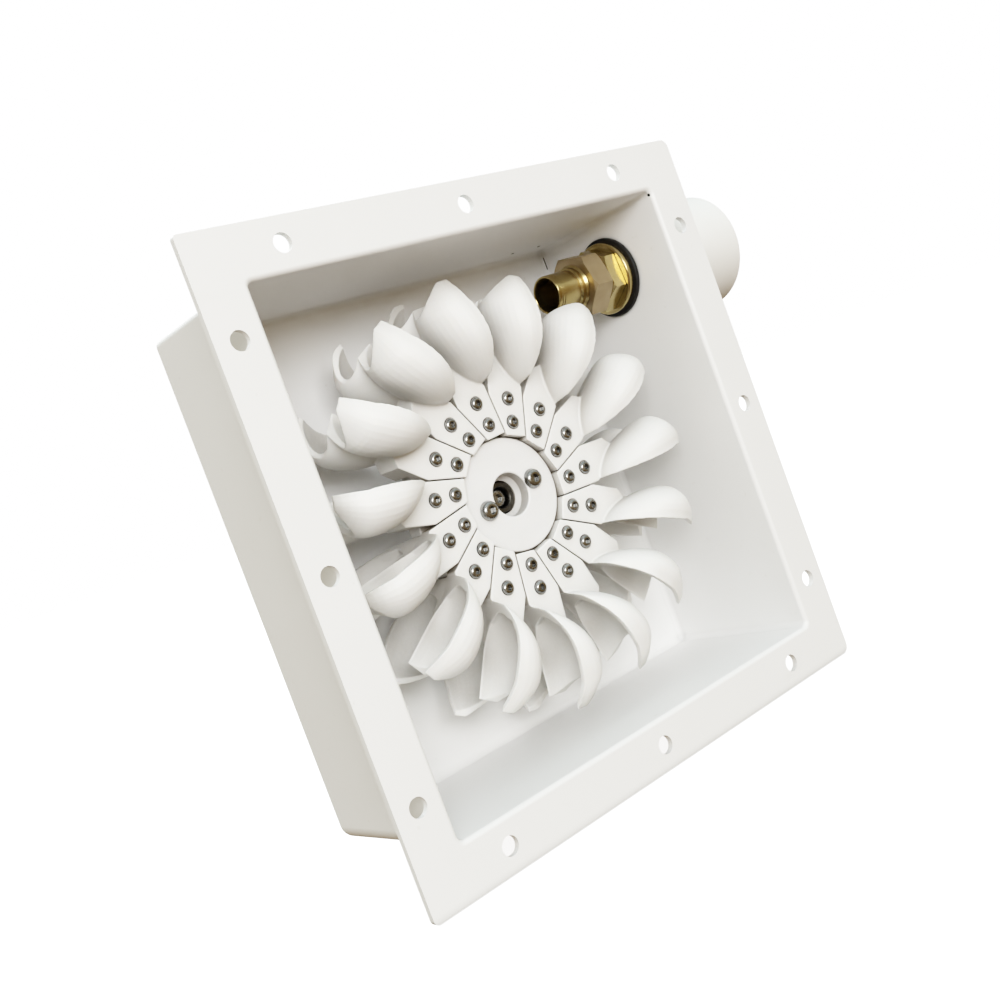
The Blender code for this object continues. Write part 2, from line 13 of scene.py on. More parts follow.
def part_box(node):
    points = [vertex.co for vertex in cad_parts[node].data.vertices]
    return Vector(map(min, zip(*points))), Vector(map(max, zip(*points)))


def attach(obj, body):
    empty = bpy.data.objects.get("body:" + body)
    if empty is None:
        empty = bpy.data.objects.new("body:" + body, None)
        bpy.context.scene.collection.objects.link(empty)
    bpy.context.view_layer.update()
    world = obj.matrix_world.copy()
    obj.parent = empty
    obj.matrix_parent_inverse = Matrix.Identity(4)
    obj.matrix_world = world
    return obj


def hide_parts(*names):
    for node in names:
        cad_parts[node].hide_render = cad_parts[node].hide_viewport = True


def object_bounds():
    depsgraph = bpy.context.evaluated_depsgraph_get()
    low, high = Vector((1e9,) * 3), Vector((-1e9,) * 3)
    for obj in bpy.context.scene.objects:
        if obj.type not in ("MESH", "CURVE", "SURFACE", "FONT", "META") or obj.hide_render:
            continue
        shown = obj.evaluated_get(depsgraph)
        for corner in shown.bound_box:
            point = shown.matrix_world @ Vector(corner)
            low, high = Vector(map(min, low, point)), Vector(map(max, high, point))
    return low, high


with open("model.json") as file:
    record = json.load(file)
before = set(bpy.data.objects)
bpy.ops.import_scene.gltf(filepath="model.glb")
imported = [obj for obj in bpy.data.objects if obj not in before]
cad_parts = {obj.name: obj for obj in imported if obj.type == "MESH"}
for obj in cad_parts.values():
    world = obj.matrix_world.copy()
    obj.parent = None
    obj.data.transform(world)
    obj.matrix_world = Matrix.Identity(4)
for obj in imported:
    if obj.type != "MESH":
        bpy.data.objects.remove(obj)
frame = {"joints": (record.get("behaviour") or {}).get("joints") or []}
cad_low, cad_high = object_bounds()

MM = 0.001


def middle(node):
    low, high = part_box(node)
    return (low + high) / 2


# Places read from the frame
HUB = Vector(frame["joints"][0]["pos_m"])
JET = middle("nozzle_tip")
HALF_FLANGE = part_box("front_flange")[1].x
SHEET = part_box("front_flange")[1].y
HALF_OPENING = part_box("top_wall")[0].z - HALF_FLANGE
BACK_FRONT, BACK_REAR = (corner.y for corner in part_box("back_wall"))
BEARING_LOW, BEARING_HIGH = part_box("bearing_housing")
SHAFT_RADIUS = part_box("wheel_shaft")[1].x

# Casing
HOLE_LINE = 138 * MM
HOLE_PITCH = 102.6 * MM
HOLE_RADIUS = 4.5 * MM
FLANGE_CORNERS = (4.5 * MM, 1.8 * MM, 2.8 * MM, 4.5 * MM)
INNER_CORNERS = (3.0 * MM, 2.6 * MM, 3.2 * MM, 3.2 * MM)
OUTER_CORNERS = (4.5 * MM, 3.0 * MM, 8.0 * MM, 7.0 * MM)
MOUTH_BEND = 2.4 * MM
BACK_FILLET = 3.0 * MM
BACK_EDGE = 3.5 * MM
WELD_FILLET = 1.2 * MM
SHAFT_HOLE = SHAFT_RADIUS + 1.5 * MM
PINHOLE_RADIUS = 1.1 * MM
PINHOLES_TOP = ((110.5 * MM, 81.6 * MM), (91.4 * MM, 83.4 * MM))
PINHOLE_MOUTH = (125.0 * MM, 2.4 * MM, 272.9 * MM)
PINHOLE_MOUTH_AIM = (1.0, 0.6, 0.3)
PINHOLE_MOUTH_SCALE = 0.8
# Clearance round the dark plugs that paint the shade inside the pinholes.
SHADE_PLUG_GAP = 0.05 * MM
SEAM_GAP_AT = (124.4 * MM, 96.1 * MM, 266.7 * MM)
SEAM_GAP_SIZE = (4.0 * MM, 0.6 * MM, 7.6 * MM)
WALL_HOLE = 14.0 * MM

# One bucket: radius from the shaft, width from the splitter, depth behind the rim
PITCH = 2 * math.pi / 15
FIRST_BUCKET_ANGLE = math.radians(70.54)
RIM_OFFSET = 5.0 * MM
CUP_NOSE = 57.2 * MM
CUP_NOSE_WIDTH = 15.0 * MM
NOSE_ROUND = 3.0 * MM
CUP_WIDTH = 33.8 * MM
CUP_WIDEST_AT = 83.0 * MM
ROOT_TAPER = 2.1
TIP_TAPER = 2.2
RIM_RISE_FROM = 97.0 * MM
RIM_RISE_CURVE = 0.6
SPLITTER_RISE_FROM = 67.0 * MM
SPLITTER_RISE_CURVE = 1.5
CUP_DEEPEST_AT = 95.0 * MM
DEPTH_CURVE = 0.8
BACK_DEPTH = 19.8 * MM
BACK_LIFT = 3.2 * MM
BACK_OVERHANG = 2.0 * MM
TIP_FALL = 8.9 * MM
RIM_EDGE = 1.5 * MM
RIM_BAND = 3.0 * MM
GROOVE_SHARE = 0.35
HOLLOW_DEPTH = 17.0 * MM
HOLLOW_ROOT = 63.5 * MM
HOLLOW_ROOT_INNER = 4.0 * MM
HOLLOW_ROOT_OUTER = 5.5 * MM
HOLLOW_LID = 8.0 * MM
CUTTER_EXTRA = 3.0 * MM
END_CUT_REACH = 25.0 * MM
SPLITTER_EDGE = 0.35 * MM
SPLITTER_ROOT = 5.7 * MM
SPLITTER_THIN_AT = 80.0 * MM
SPLITTER_TIP = 104.2 * MM
NOTCH_BOTTOM = 98.5 * MM
NOTCH_AT = 10.0 * MM
FANG_TIP = 111.0 * MM
FANG_WIDTH = 20.6 * MM
FANG_INNER = 20.0 * MM
FOOT_FACE = 8.8 * MM
FOOT_INNER = 30.0 * MM
FOOT_STEP = 58.8 * MM
FOOT_OUTER = 68.0 * MM
FOOT_OPEN_SIDE = 9.5 * MM
FOOT_NECK_BACK = -11.5 * MM
FOOT_SIDE_GAP = 0.6 * MM
NEXT_FOOT_RISE = FOOT_OPEN_SIDE * math.cos(PITCH) + FOOT_SIDE_GAP / math.cos(PITCH)
NEXT_FOOT_START = FOOT_OPEN_SIDE * math.sin(PITCH)
FOOT_SINK = 0.8 * MM
SHOULDER_START = 56.2 * MM
SHOULDER_END = 61.4 * MM
RIB_END = 80.0 * MM
PLATE_FRONT = 1.3 * MM
VOXEL = 0.5 * MM
BUCKET_KEEP = 0.22

# Screws
BUCKET_SCREWS = ((49.1 * MM, 0.0), (36.9 * MM, -1.84 * MM))
HUB_SCREWS = ((16.1 * MM, 3.4 * MM), (-17.2 * MM, -3.4 * MM))
M4_HEAD = (3.55 * MM, 2.2 * MM, 1.65 * MM, 1.6 * MM)
M6_HEAD = (5.2 * MM, 3.2 * MM, 2.3 * MM, 2.0 * MM)
HEAD_SUNK = 0.5 * MM
HEAD_CLEARANCE = 0.35 * MM
GOLDEN_TURN = math.pi * (3 - math.sqrt(5))

# Nozzle: each hexagon's radius to a corner and turn, and the radii of the cones at its two ends
TUBE_BORE = 9.3 * MM
THREAD_RADIUS = 13.5 * MM
BODY_HEXAGON = (18.6 * MM, math.radians(-13))
BODY_CONES = (16.6 * MM, 16.9 * MM)
NUT_HEXAGON = (18.2 * MM, math.radians(-26))
NUT_CONES = (15.0 * MM, 17.6 * MM)

# Hub, shaft and bearing
HUB_RADIUS = 29.6 * MM
HUB_FACE = 5.0 * MM
HUB_PLATE_RADIUS = 57.0 * MM
HUB_PLATE_FRONT = 1.0 * MM
HUB_PLATE_BACK = 8.8 * MM
HUB_RECESS_RADIUS = 11.2 * MM
HUB_RECESS_DEPTH = 6.8 * MM
HUB_SEAT_DEPTH = 8.8 * MM
HUB_BORE_RADIUS = 8.5 * MM
COUNTERBORE_RADIUS = 5.6 * MM
COUNTERBORE_DEPTH = 5.4 * MM
SHAFT_GAP = 0.3 * MM
BEARING_BODY_RADIUS = 26.0 * MM
BEARING_FLANGE_DEPTH = 6.0 * MM
BEARING_BOLT_LINE = 32.0 * MM

# Light: the room's shades from below to above, and the tone curve with the level that comes out as white
ROOM_SHADES = ((0.08, 0.03, 0.01), (0.71, 0.48, 0.20), (2.41, 2.84, 2.94))
TONE_CONTRAST = 1.15
TONE_WHITE = 4.5
WHITE_LEVEL = TONE_WHITE ** (1 / TONE_CONTRAST)
FLOOR_GLOW = 2.6
LAMP_DISTANCE = 2.2
KEY_POWER = 46.0
SIDE_POWER = 54.0
BACK_POWER = 36.0

# Camera of the photograph, whose frame is square
CAMERA_PLACE = (-0.37998, -0.44466, 0.17929)
CAMERA_FORWARD = (0.6040, 0.7955, -0.0483)
CAMERA_RIGHT = (0.7361, -0.5801, -0.3488)
CAMERA_LENS = 44.0325
CAMERA_SENSOR = 36.0


def link(item):
    bpy.context.scene.collection.objects.link(item)
    return item


def mesh_from(build):
    """Fill a new mesh with what build(bm) makes, with its faces pointing out."""
    bm = bmesh.new()
    build(bm)
    bmesh.ops.recalc_face_normals(bm, faces=bm.faces)
    mesh = bpy.data.meshes.new("shape")
    bm.to_mesh(mesh)
    bm.free()
    return mesh


def evaluated(item):
    """The object's mesh with its modifiers applied, after which the object is removed."""
    depsgraph = bpy.context.evaluated_depsgraph_get()
    mesh = bpy.data.meshes.new_from_object(item.evaluated_get(depsgraph), depsgraph=depsgraph)
    bpy.data.objects.remove(item, do_unlink=True)
    return mesh


def combined(mesh, *steps):
    """Apply Boolean steps to a mesh: each step is an operation and a mesh."""
    item = link(bpy.data.objects.new("work", mesh))
    tools = []
    for operation, other in steps:
        tool = link(bpy.data.objects.new("tool", other))
        modifier = item.modifiers.new("step", "BOOLEAN")
        modifier.operation = operation
        modifier.solver = "MANIFOLD"
        modifier.object = tool
        tools.append(tool)
    result = evaluated(item)
    for tool in tools:
        bpy.data.objects.remove(tool, do_unlink=True)
    return result


def softened(mesh, width, segments, angle):
    """Bevel the edges of a mesh that are sharper than an angle."""
    item = link(bpy.data.objects.new("work", mesh))
    bevel = item.modifiers.new("edges", "BEVEL")
    bevel.width = width
    bevel.segments = segments
    bevel.limit_method = "ANGLE"
    bevel.angle_limit = math.radians(angle)
    bevel.use_clamp_overlap = True
    return evaluated(item)


def piece(name, mesh, material, slot, body, *nodes, place=None, sharp=40):
    """Show a mesh as a named piece that rides on a body and stands for its CAD nodes."""
    mesh.name = name
    mesh.materials.clear()
    mesh.materials.append(material)
    mesh.shade_smooth()
    if sharp:
        mesh.set_sharp_from_angle(angle=math.radians(sharp))
    item = link(bpy.data.objects.new(name, mesh))
    if place:
        item.matrix_world = place
    flat = item.modifiers.new("normals", "WEIGHTED_NORMAL")
    flat.keep_sharp = True
    flat.weight = 60
    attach(item, body)
    if nodes:
        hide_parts(*nodes)


def along_x(x):
    """Turn a shape made along Z so that it runs along +X on the jet's axis."""
    return Matrix.Translation((x, JET.y, JET.z)) @ Matrix.Rotation(math.pi / 2, 4, "Y")


def along_y(y, x=0.0, z=0.0):
    """Turn a shape made along Z so that it runs along +Y, beside the wheel's axis."""
    return Matrix.Translation((HUB.x + x, y, HUB.z + z)) @ Matrix.Rotation(-math.pi / 2, 4, "X")


def arc(centre, radius, start, stop, steps=5):
    """Points of a profile's rounded corner, from angle start to stop in degrees."""
    points = []
    for step in range(steps + 1):
        angle = math.radians(start + (stop - start) * step / steps)
        points.append((centre[0] + radius * math.cos(angle), centre[1] + radius * math.sin(angle)))
    return points


def turned(profile, placement, segments):
    """A closed profile of (radius, along) points, turned about the Z axis and then placed."""
    def build(bm):
        corners = [bm.verts.new((radius, 0.0, along)) for radius, along in profile]
        edges = [bm.edges.new((a, b)) for a, b in zip(corners, corners[1:] + corners[:1])]
        bmesh.ops.spin(bm, geom=corners + edges, axis=(0, 0, 1), cent=(0, 0, 0), steps=segments,
                       angle=2 * math.pi, use_merge=True)
        bmesh.ops.remove_doubles(bm, verts=bm.verts, dist=0.000001)
        loose = [edge for edge in bm.edges if not edge.link_faces]
        bmesh.ops.delete(bm, geom=loose, context="EDGES")
        bmesh.ops.transform(bm, matrix=placement, verts=bm.verts)
    return mesh_from(build)


def aimed(direction):
    """The turn that brings the Z axis to a direction."""
    return Vector(direction).to_track_quat("Z", "Y").to_matrix().to_4x4()


def extruded(outline, depth, placement):
    """A flat outline of (x, y) points, extruded along +Z and then placed."""
    def build(bm):
        face = bm.faces.new([bm.verts.new((x, y, 0)) for x, y in outline])
        pushed = bmesh.ops.extrude_face_region(bm, geom=[face])["geom"]
        moved = [part for part in pushed if isinstance(part, bmesh.types.BMVert)]
        bmesh.ops.translate(bm, vec=(0, 0, depth), verts=moved)
        bmesh.ops.transform(bm, matrix=placement, verts=bm.verts)
    return mesh_from(build)


def hexagon(radius):
    return [(radius * math.cos(math.pi / 3 * k), radius * math.sin(math.pi / 3 * k)) for k in range(6)]


def drill(bm, radius, depth, placement, segments=48):
    """A round cutter whose middle lies at the placement."""
    bmesh.ops.create_cone(bm, cap_ends=True, segments=segments, radius1=radius, radius2=radius,
                          depth=depth, matrix=placement)


# Materials


class Finish:
    """A Principled material with a few helpers for its procedural detail."""

    def __init__(self, name, roughness, metallic=0.0, specular=0.5):
        self.material = bpy.data.materials.new(name)
        self.material.use_nodes = True
        self.nodes = self.material.node_tree.nodes
        self.links = self.material.node_tree.links
        self.shader = self.nodes["Principled BSDF"]
        self.shader.inputs["Roughness"].default_value = roughness
        self.shader.inputs["Metallic"].default_value = metallic
        self.shader.inputs["Specular IOR Level"].default_value = specular
        self.place = self.nodes.new("ShaderNodeTexCoord").outputs["Object"]
        self.normal = None

    def noise(self, scale, detail, stretch=(1, 1, 1)):
        """Noise of a scale in cells per metre, stretched along the axes."""
        mapping = self.nodes.new("ShaderNodeMapping")
        mapping.inputs["Scale"].default_value = stretch
        self.links.new(self.place, mapping.inputs["Vector"])
        texture = self.nodes.new("ShaderNodeTexNoise")
        texture.inputs["Scale"].default_value = scale
        texture.inputs["Detail"].default_value = detail
        self.links.new(mapping.outputs["Vector"], texture.inputs["Vector"])
        return texture.outputs["Fac"]

    def ramp(self, value, stops):
        """Map a value to the colours or shades of the stops."""
        ramp = self.nodes.new("ShaderNodeValToRGB")
        elements = ramp.color_ramp.elements
        while len(elements) < len(stops):
            elements.new(0.5)
        for element, (position, shade) in zip(elements, stops):
            element.position = position
            element.color = (*shade, 1.0) if isinstance(shade, tuple) else (shade, shade, shade, 1.0)
        self.links.new(value, ramp.inputs["Fac"])
        return ramp.outputs["Color"]

    def mix(self, first, second, share, blend="MIX"):
        node = self.nodes.new("ShaderNodeMix")
        node.data_type = "RGBA"
        node.blend_type = blend
        for socket, value in ((node.inputs["Factor"], share), (node.inputs["A"], first),
                              (node.inputs["B"], second)):
            if isinstance(value, bpy.types.NodeSocket):
                self.links.new(value, socket)
            elif isinstance(value, tuple):
                socket.default_value = (*value, 1.0)
            else:
                socket.default_value = value
        return node.outputs["Result"]

    def colour(self, value):
        self.links.new(value, self.shader.inputs["Base Color"])

    def roughness(self, value, low, high):
        spread = self.nodes.new("ShaderNodeMapRange")
        spread.inputs["To Min"].default_value = low
        spread.inputs["To Max"].default_value = high
        self.links.new(value, spread.inputs["Value"])
        self.links.new(spread.outputs["Result"], self.shader.inputs["Roughness"])

    def bump(self, height, distance, strength):
        node = self.nodes.new("ShaderNodeBump")
        node.inputs["Distance"].default_value = distance
        node.inputs["Strength"].default_value = strength
        self.links.new(height, node.inputs["Height"])
        if self.normal:
            self.links.new(self.normal, node.inputs["Normal"])
        self.normal = node.outputs["Normal"]
        self.links.new(self.normal, self.shader.inputs["Normal"])

    def painted_hollow_shade(self, distance, dark):
        """Painted shade: the colour darkens by ambient occlusion in hollows, corners and gaps, where shadow
        gathers.
        """
        node = self.nodes.new("ShaderNodeAmbientOcclusion")
        node.inputs["Distance"].default_value = distance
        node.samples = 6
        return self.ramp(node.outputs["AO"], ((0.0, dark), (0.8, 1.0)))


def casing_paint():
    finish = Finish("casing_paint_white", 0.4)
    cloud = finish.noise(9, 4)
    tint = finish.ramp(cloud, ((0.3, (0.835, 0.833, 0.822)), (0.7, (0.865, 0.864, 0.857))))
    specks = finish.ramp(finish.noise(260, 2), ((0.70, 0.0), (0.78, 0.25)))
    tint = finish.mix(tint, (0.62, 0.59, 0.54), specks)
    smudges = finish.ramp(finish.noise(16, 6, (1, 1, 2.2)), ((0.66, 0.0), (0.8, 0.16)))
    tint = finish.mix(tint, (0.66, 0.64, 0.60), smudges)
    # Painted shade: the paint's colour darkens in corners, holes and the seam, where shadow falls.
    finish.colour(finish.mix(tint, finish.painted_hollow_shade(0.006, (0.10, 0.10, 0.09)), 1.0, "MULTIPLY"))
    finish.roughness(finish.noise(35, 4), 0.32, 0.5)
    finish.bump(finish.noise(700, 2), 0.00003, 0.35)
    finish.bump(finish.noise(60, 2), 0.0002, 0.12)
    return finish.material


def moulded_nylon(name, low, high, roughness):
    """Matte moulded plastic: slight clouding, fine grain, faint flow lines, and painted shade darkening its
    hollows and the gaps between parts.
    """
    finish = Finish(name, roughness)
    cloud = finish.noise(45, 4)
    tint = finish.ramp(cloud, ((0.3, low), (0.7, high)))
    flow = finish.ramp(finish.noise(90, 3, (0.25, 1, 1)), ((0.35, 0.965), (0.65, 1.0)))
    tint = finish.mix(tint, flow, 1.0, "MULTIPLY")
    # Painted shade: a warm darkening in the cups' hollows, the hub's recess and between the feet.
    finish.colour(finish.mix(tint, finish.painted_hollow_shade(0.032, (0.14, 0.10, 0.05)), 1.0, "MULTIPLY"))
    finish.shader.inputs["Subsurface Weight"].default_value = 0.12
    finish.shader.inputs["Subsurface Radius"].default_value = (0.0024, 0.0020, 0.0015)
    finish.shader.inputs["Subsurface Scale"].default_value = 1.0
    finish.roughness(finish.noise(300, 3), roughness - 0.08, roughness + 0.08)
    finish.bump(finish.noise(1500, 2), 0.00002, 0.3)
    finish.bump(finish.noise(160, 3), 0.00006, 0.25)
    return finish.material


def turned_brass(name, ring_scale, low, high, roughness):
    """Machined brass, with fine tool rings along the jet and a darker stain in soft patches."""
    finish = Finish(name, roughness, metallic=1.0)
    rings = finish.noise(1, 2, (ring_scale, 18, 18))
    stain = finish.ramp(finish.noise(60, 3), ((0.35, low), (0.65, high)))
    finish.colour(finish.mix(stain, finish.ramp(rings, ((0.3, 0.93), (0.7, 1.0))), 1.0, "MULTIPLY"))
    finish.roughness(finish.noise(200, 3), roughness * 0.8, roughness * 1.2)
    finish.bump(rings, 0.00002, 0.3)
    finish.bump(finish.noise(70, 2), 0.00008, 0.2)
    return finish.material


def black_rubber():
    finish = Finish("gasket_rubber_black", 0.6, specular=0.2)
    tint = ((0.3, (0.004, 0.004, 0.004)), (0.7, (0.011, 0.010, 0.009)))
    finish.colour(finish.ramp(finish.noise(220, 4), tint))
    finish.roughness(finish.noise(500, 3), 0.45, 0.72)
    finish.bump(finish.noise(1200, 3), 0.00006, 0.5)
    return finish.material


def pipe_plastic():
    finish = Finish("pipe_plastic_white", 0.35)
    tint = ((0.3, (0.83, 0.825, 0.79)), (0.7, (0.865, 0.86, 0.835)))
    finish.colour(finish.ramp(finish.noise(30, 4), tint))
    finish.roughness(finish.noise(90, 3), 0.28, 0.42)
    finish.bump(finish.noise(1, 2, (420, 12, 12)), 0.00004, 0.3)
    finish.bump(finish.noise(350, 2), 0.00003, 0.2)
    return finish.material


def steel(name, low, high, roughness, grain=(1, 1, 1)):
    finish = Finish(name, roughness, metallic=1.0)
    tint = finish.ramp(finish.noise(300, 4), ((0.3, low), (0.7, high)))
    # Painted shade: a dark rim where a head or bolt meets the part around it, and darker hollows such as
    # sockets.
    finish.colour(finish.mix(tint, finish.painted_hollow_shade(0.0016, (0.06, 0.06, 0.055)), 1.0, "MULTIPLY"))
    finish.roughness(finish.noise(700, 3, grain), roughness * 0.7, roughness * 1.4)
    finish.bump(finish.noise(900, 2, grain), 0.00002, 0.4)
    return finish.material


def stage_floor_finish():
    """A pale floor that shines a little itself, so that it comes out as white paper does."""
    finish = Finish("stage_floor_pale", 0.9, specular=0.1)
    finish.colour(finish.ramp(finish.noise(3, 3), ((0.3, (0.90, 0.90, 0.90)), (0.7, (0.93, 0.93, 0.93)))))
    finish.shader.inputs["Emission Color"].default_value = (1, 1, 1, 1)
    finish.shader.inputs["Emission Strength"].default_value = FLOOR_GLOW
    return finish.material


# Casing


def ring_of_square(bm, half, corners, y, steps=8):
    """A ring of points at depth y on a square with round corners, from the top right corner on."""
    ring = []
    for quarter, corner in enumerate(corners):
        centre = Vector((half - corner, half - corner))
        centre.rotate(Matrix.Rotation(math.pi / 2 * quarter, 2))
        for step in range(steps + 1):
            angle = math.pi / 2 * (quarter + step / steps)
            x, z = centre.x + corner * math.cos(angle), centre.y + corner * math.sin(angle)
            ring.append(bm.verts.new((x, y, HALF_FLANGE + z)))
    return ring


def casing_section():
    """Rings of the folded sheet: half width, depth and corners, from its inner back to its rear edge."""
    outer = HALF_OPENING + SHEET

    def shrunk(corners, inset):
        return [max(corner - inset, 0.2 * MM) for corner in corners]

    rows = []
    for x, y in arc((HALF_OPENING - BACK_FILLET, BACK_FRONT - BACK_FILLET), BACK_FILLET, 90, 0):
        rows.append((x, y, shrunk(INNER_CORNERS, HALF_OPENING - x)))
    for x, y in arc((HALF_OPENING + MOUTH_BEND, MOUTH_BEND), MOUTH_BEND, 180, 270, 8):
        rows.append((x, y, [corner + (x - HALF_OPENING) * 0.6 for corner in INNER_CORNERS]))
    rows.append((HALF_FLANGE, 0.0, FLANGE_CORNERS))
    rows.append((HALF_FLANGE, SHEET, FLANGE_CORNERS))
    for x, y in arc((outer + WELD_FILLET, SHEET + WELD_FILLET), WELD_FILLET, 270, 180, 4):
        rows.append((x, y, [corner + (x - outer) for corner in OUTER_CORNERS]))
    for x, y in arc((outer - BACK_EDGE, BACK_REAR - BACK_EDGE), BACK_EDGE, 0, 90):
        rows.append((x, y, shrunk(OUTER_CORNERS, outer - x)))
    return rows


def folded_sheet(bm):
    rings = [ring_of_square(bm, half, corners, y) for half, y, corners in casing_section()]
    count = len(rings[0])
    for y in (BACK_REAR, BACK_FRONT):
        ring = []
        for point in rings[-1][:count]:
            spoke = Vector((point.co.x, point.co.z - HALF_FLANGE)).normalized() * SHAFT_HOLE
            ring.append(bm.verts.new((spoke.x, y, HALF_FLANGE + spoke.y)))
        rings.append(ring)
    for first, second in zip(rings, rings[1:] + rings[:1]):
        for k in range(count):
            after = (k + 1) % count
            bm.faces.new((first[k], first[after], second[after], second[k]))


def seam_place():
    """The open seam between the back and the right wall, with X pointing into the corner."""
    return Matrix.Translation(SEAM_GAP_AT) @ Matrix.Rotation(math.pi / 4, 4, "Z")


def casing_drills(bm):
    """Twelve bolt holes, the nozzle's hole, and the pinholes and the open seam at the top right corner."""
    through = Matrix.Rotation(math.pi / 2, 4, "X")
    for quarter in range(4):
        for shift in (-HOLE_PITCH, 0.0, HOLE_PITCH):
            spot = Vector((shift, HOLE_LINE))
            spot.rotate(Matrix.Rotation(math.pi / 2 * quarter, 2))
            drill(bm, HOLE_RADIUS, SHEET * 4,
                  Matrix.Translation((spot.x, SHEET / 2, HALF_FLANGE + spot.y)) @ through, 64)
    wall = HALF_OPENING + SHEET / 2
    drill(bm, WALL_HOLE, SHEET * 3, along_x(wall))
    for x, y in PINHOLES_TOP:
        drill(bm, PINHOLE_RADIUS, SHEET, Matrix.Translation((x, y, HALF_FLANGE + HALF_OPENING)), 24)
    drill(bm, PINHOLE_RADIUS * PINHOLE_MOUTH_SCALE, SHEET,
          Matrix.Translation(PINHOLE_MOUTH) @ aimed(PINHOLE_MOUTH_AIM), 24)
    bmesh.ops.create_cube(bm, size=1.0, matrix=seam_place() @ Matrix.Diagonal((*SEAM_GAP_SIZE, 1.0)))


def make_casing(paint):
    shell = combined(mesh_from(folded_sheet), ("DIFFERENCE", mesh_from(casing_drills)))
    shell = softened(shell, 0.35 * MM, 2, 40)
    piece("casing_shell", shell, paint, "casing_paint", "casing", "front_flange", "top_wall", "bottom_wall",
          "left_wall", "right_wall", "back_wall", sharp=50)


def make_shade_plugs(rubber):
    """Painted shade: dark rubber plugs in the pinholes and in the open seam, standing in for the shade deep
    inside them.
    """
    radius, back = PINHOLE_RADIUS - SHADE_PLUG_GAP, 0.6 * MM
    dome = [(0, back), (radius, back), (radius, 0.1 * MM), (radius * 0.7, -0.1 * MM), (0, -0.2 * MM)]
    for number, (x, y) in enumerate(PINHOLES_TOP):
        place = Matrix.Translation((x, y, HALF_FLANGE + HALF_OPENING - SHADE_PLUG_GAP))
        piece(f"pinhole_shade_plug_{number + 1}", turned(dome, place, 24), rubber, "rubber", "casing")
    place = Matrix.Translation(PINHOLE_MOUTH) @ aimed(PINHOLE_MOUTH_AIM)
    sunk = Matrix.Translation((0, 0, 0.5 * MM)) @ Matrix.Scale(PINHOLE_MOUTH_SCALE, 4)
    piece("pinhole_shade_plug_3", turned(dome, place @ sunk, 24), rubber, "rubber", "casing")

    # A dark bead in the open seam, painted shade for the seam's depth.
    front, back, half = 0.5 * MM, 1.3 * MM, 0.28 * MM
    outline = [(front, -half), (back, -half), (back, half), (front, half), (0.3 * MM, 0.0)]
    length = SEAM_GAP_SIZE[2] - 0.2 * MM
    bead = extruded(outline, length, seam_place() @ Matrix.Translation((0, 0, -length / 2)))
    piece("seam_shade_plug", bead, rubber, "rubber", "casing")


# Buckets


def rim_half_width(radius):
    """Distance from the splitter to the outer edge of a cup's rim, widest past the middle."""
    if radius < CUP_WIDEST_AT:
        share = (CUP_WIDEST_AT - radius) / (CUP_WIDEST_AT - CUP_NOSE)
        return CUP_WIDTH - (CUP_WIDTH - CUP_NOSE_WIDTH) * share ** ROOT_TAPER
    share = (radius - CUP_WIDEST_AT) / (FANG_TIP - CUP_WIDEST_AT)
    return CUP_WIDTH - (CUP_WIDTH - FANG_WIDTH) * share ** TIP_TAPER


def cup_depth(radius, root, deepest, lift=0.0):
    """Depth under the splitter's edge on a cup's middle line: rounded at the root, shallower at the tip."""
    reach = min(max((radius - root) / (CUP_DEEPEST_AT - root), 0.0), 1.0)
    beyond = max((radius - CUP_DEEPEST_AT) / (FANG_TIP - CUP_DEEPEST_AT), 0.0)
    return (deepest + lift) * (1 - (1 - reach) ** 2) ** DEPTH_CURVE - lift - TIP_FALL * beyond ** 1.5


def share_below(radius, start):
    """How far a radius has come from start back to the cup's nose, from 0 to 1."""
    return min(max((start - radius) / (start - CUP_NOSE), 0.0), 1.0)


def open_side_rise(radius, across):
    """Height of the open side over the splitter's edge, from the splitter (0) out to the rim (1)."""
    splitter = share_below(radius, SPLITTER_RISE_FROM) ** SPLITTER_RISE_CURVE
    rim = share_below(radius, RIM_RISE_FROM) ** RIM_RISE_CURVE
    return (FOOT_OPEN_SIDE - FOOT_SINK - RIM_OFFSET) * (splitter + (rim - splitter) * across)


def splitter_half_width(radius):
    """Half the width of the ridge between the hollows, which is a thin edge except near its root."""
    share = min(max((SPLITTER_THIN_AT - radius) / (SPLITTER_THIN_AT - HOLLOW_ROOT), 0.0), 1.0)
    return SPLITTER_EDGE + SPLITTER_ROOT * share ** 1.5


def rounded_step(step, steps):
    """Shares from 0 to 1 that lie closer together at both ends."""
    return 0.5 * (1 - math.cos(math.pi * step / steps))


def close_slab(bm, tops, backs):
    """Faces over two grids of points and round their four sides, of which the outer end is flat."""
    for rows in (tops, backs):
        for lower, upper in zip(rows, rows[1:]):
            for k in range(len(lower) - 1):
                bm.faces.new((lower[k], lower[k + 1], upper[k + 1], upper[k]))
    for inner, outer in ((tops[0], backs[0]), ([row[0] for row in tops], [row[0] for row in backs]),
                         ([row[-1] for row in tops], [row[-1] for row in backs])):
        for k in range(len(inner) - 1):
            bm.faces.new((inner[k], inner[k + 1], outer[k + 1], outer[k]))
    bm.faces.new(tops[-1] + backs[-1][::-1])


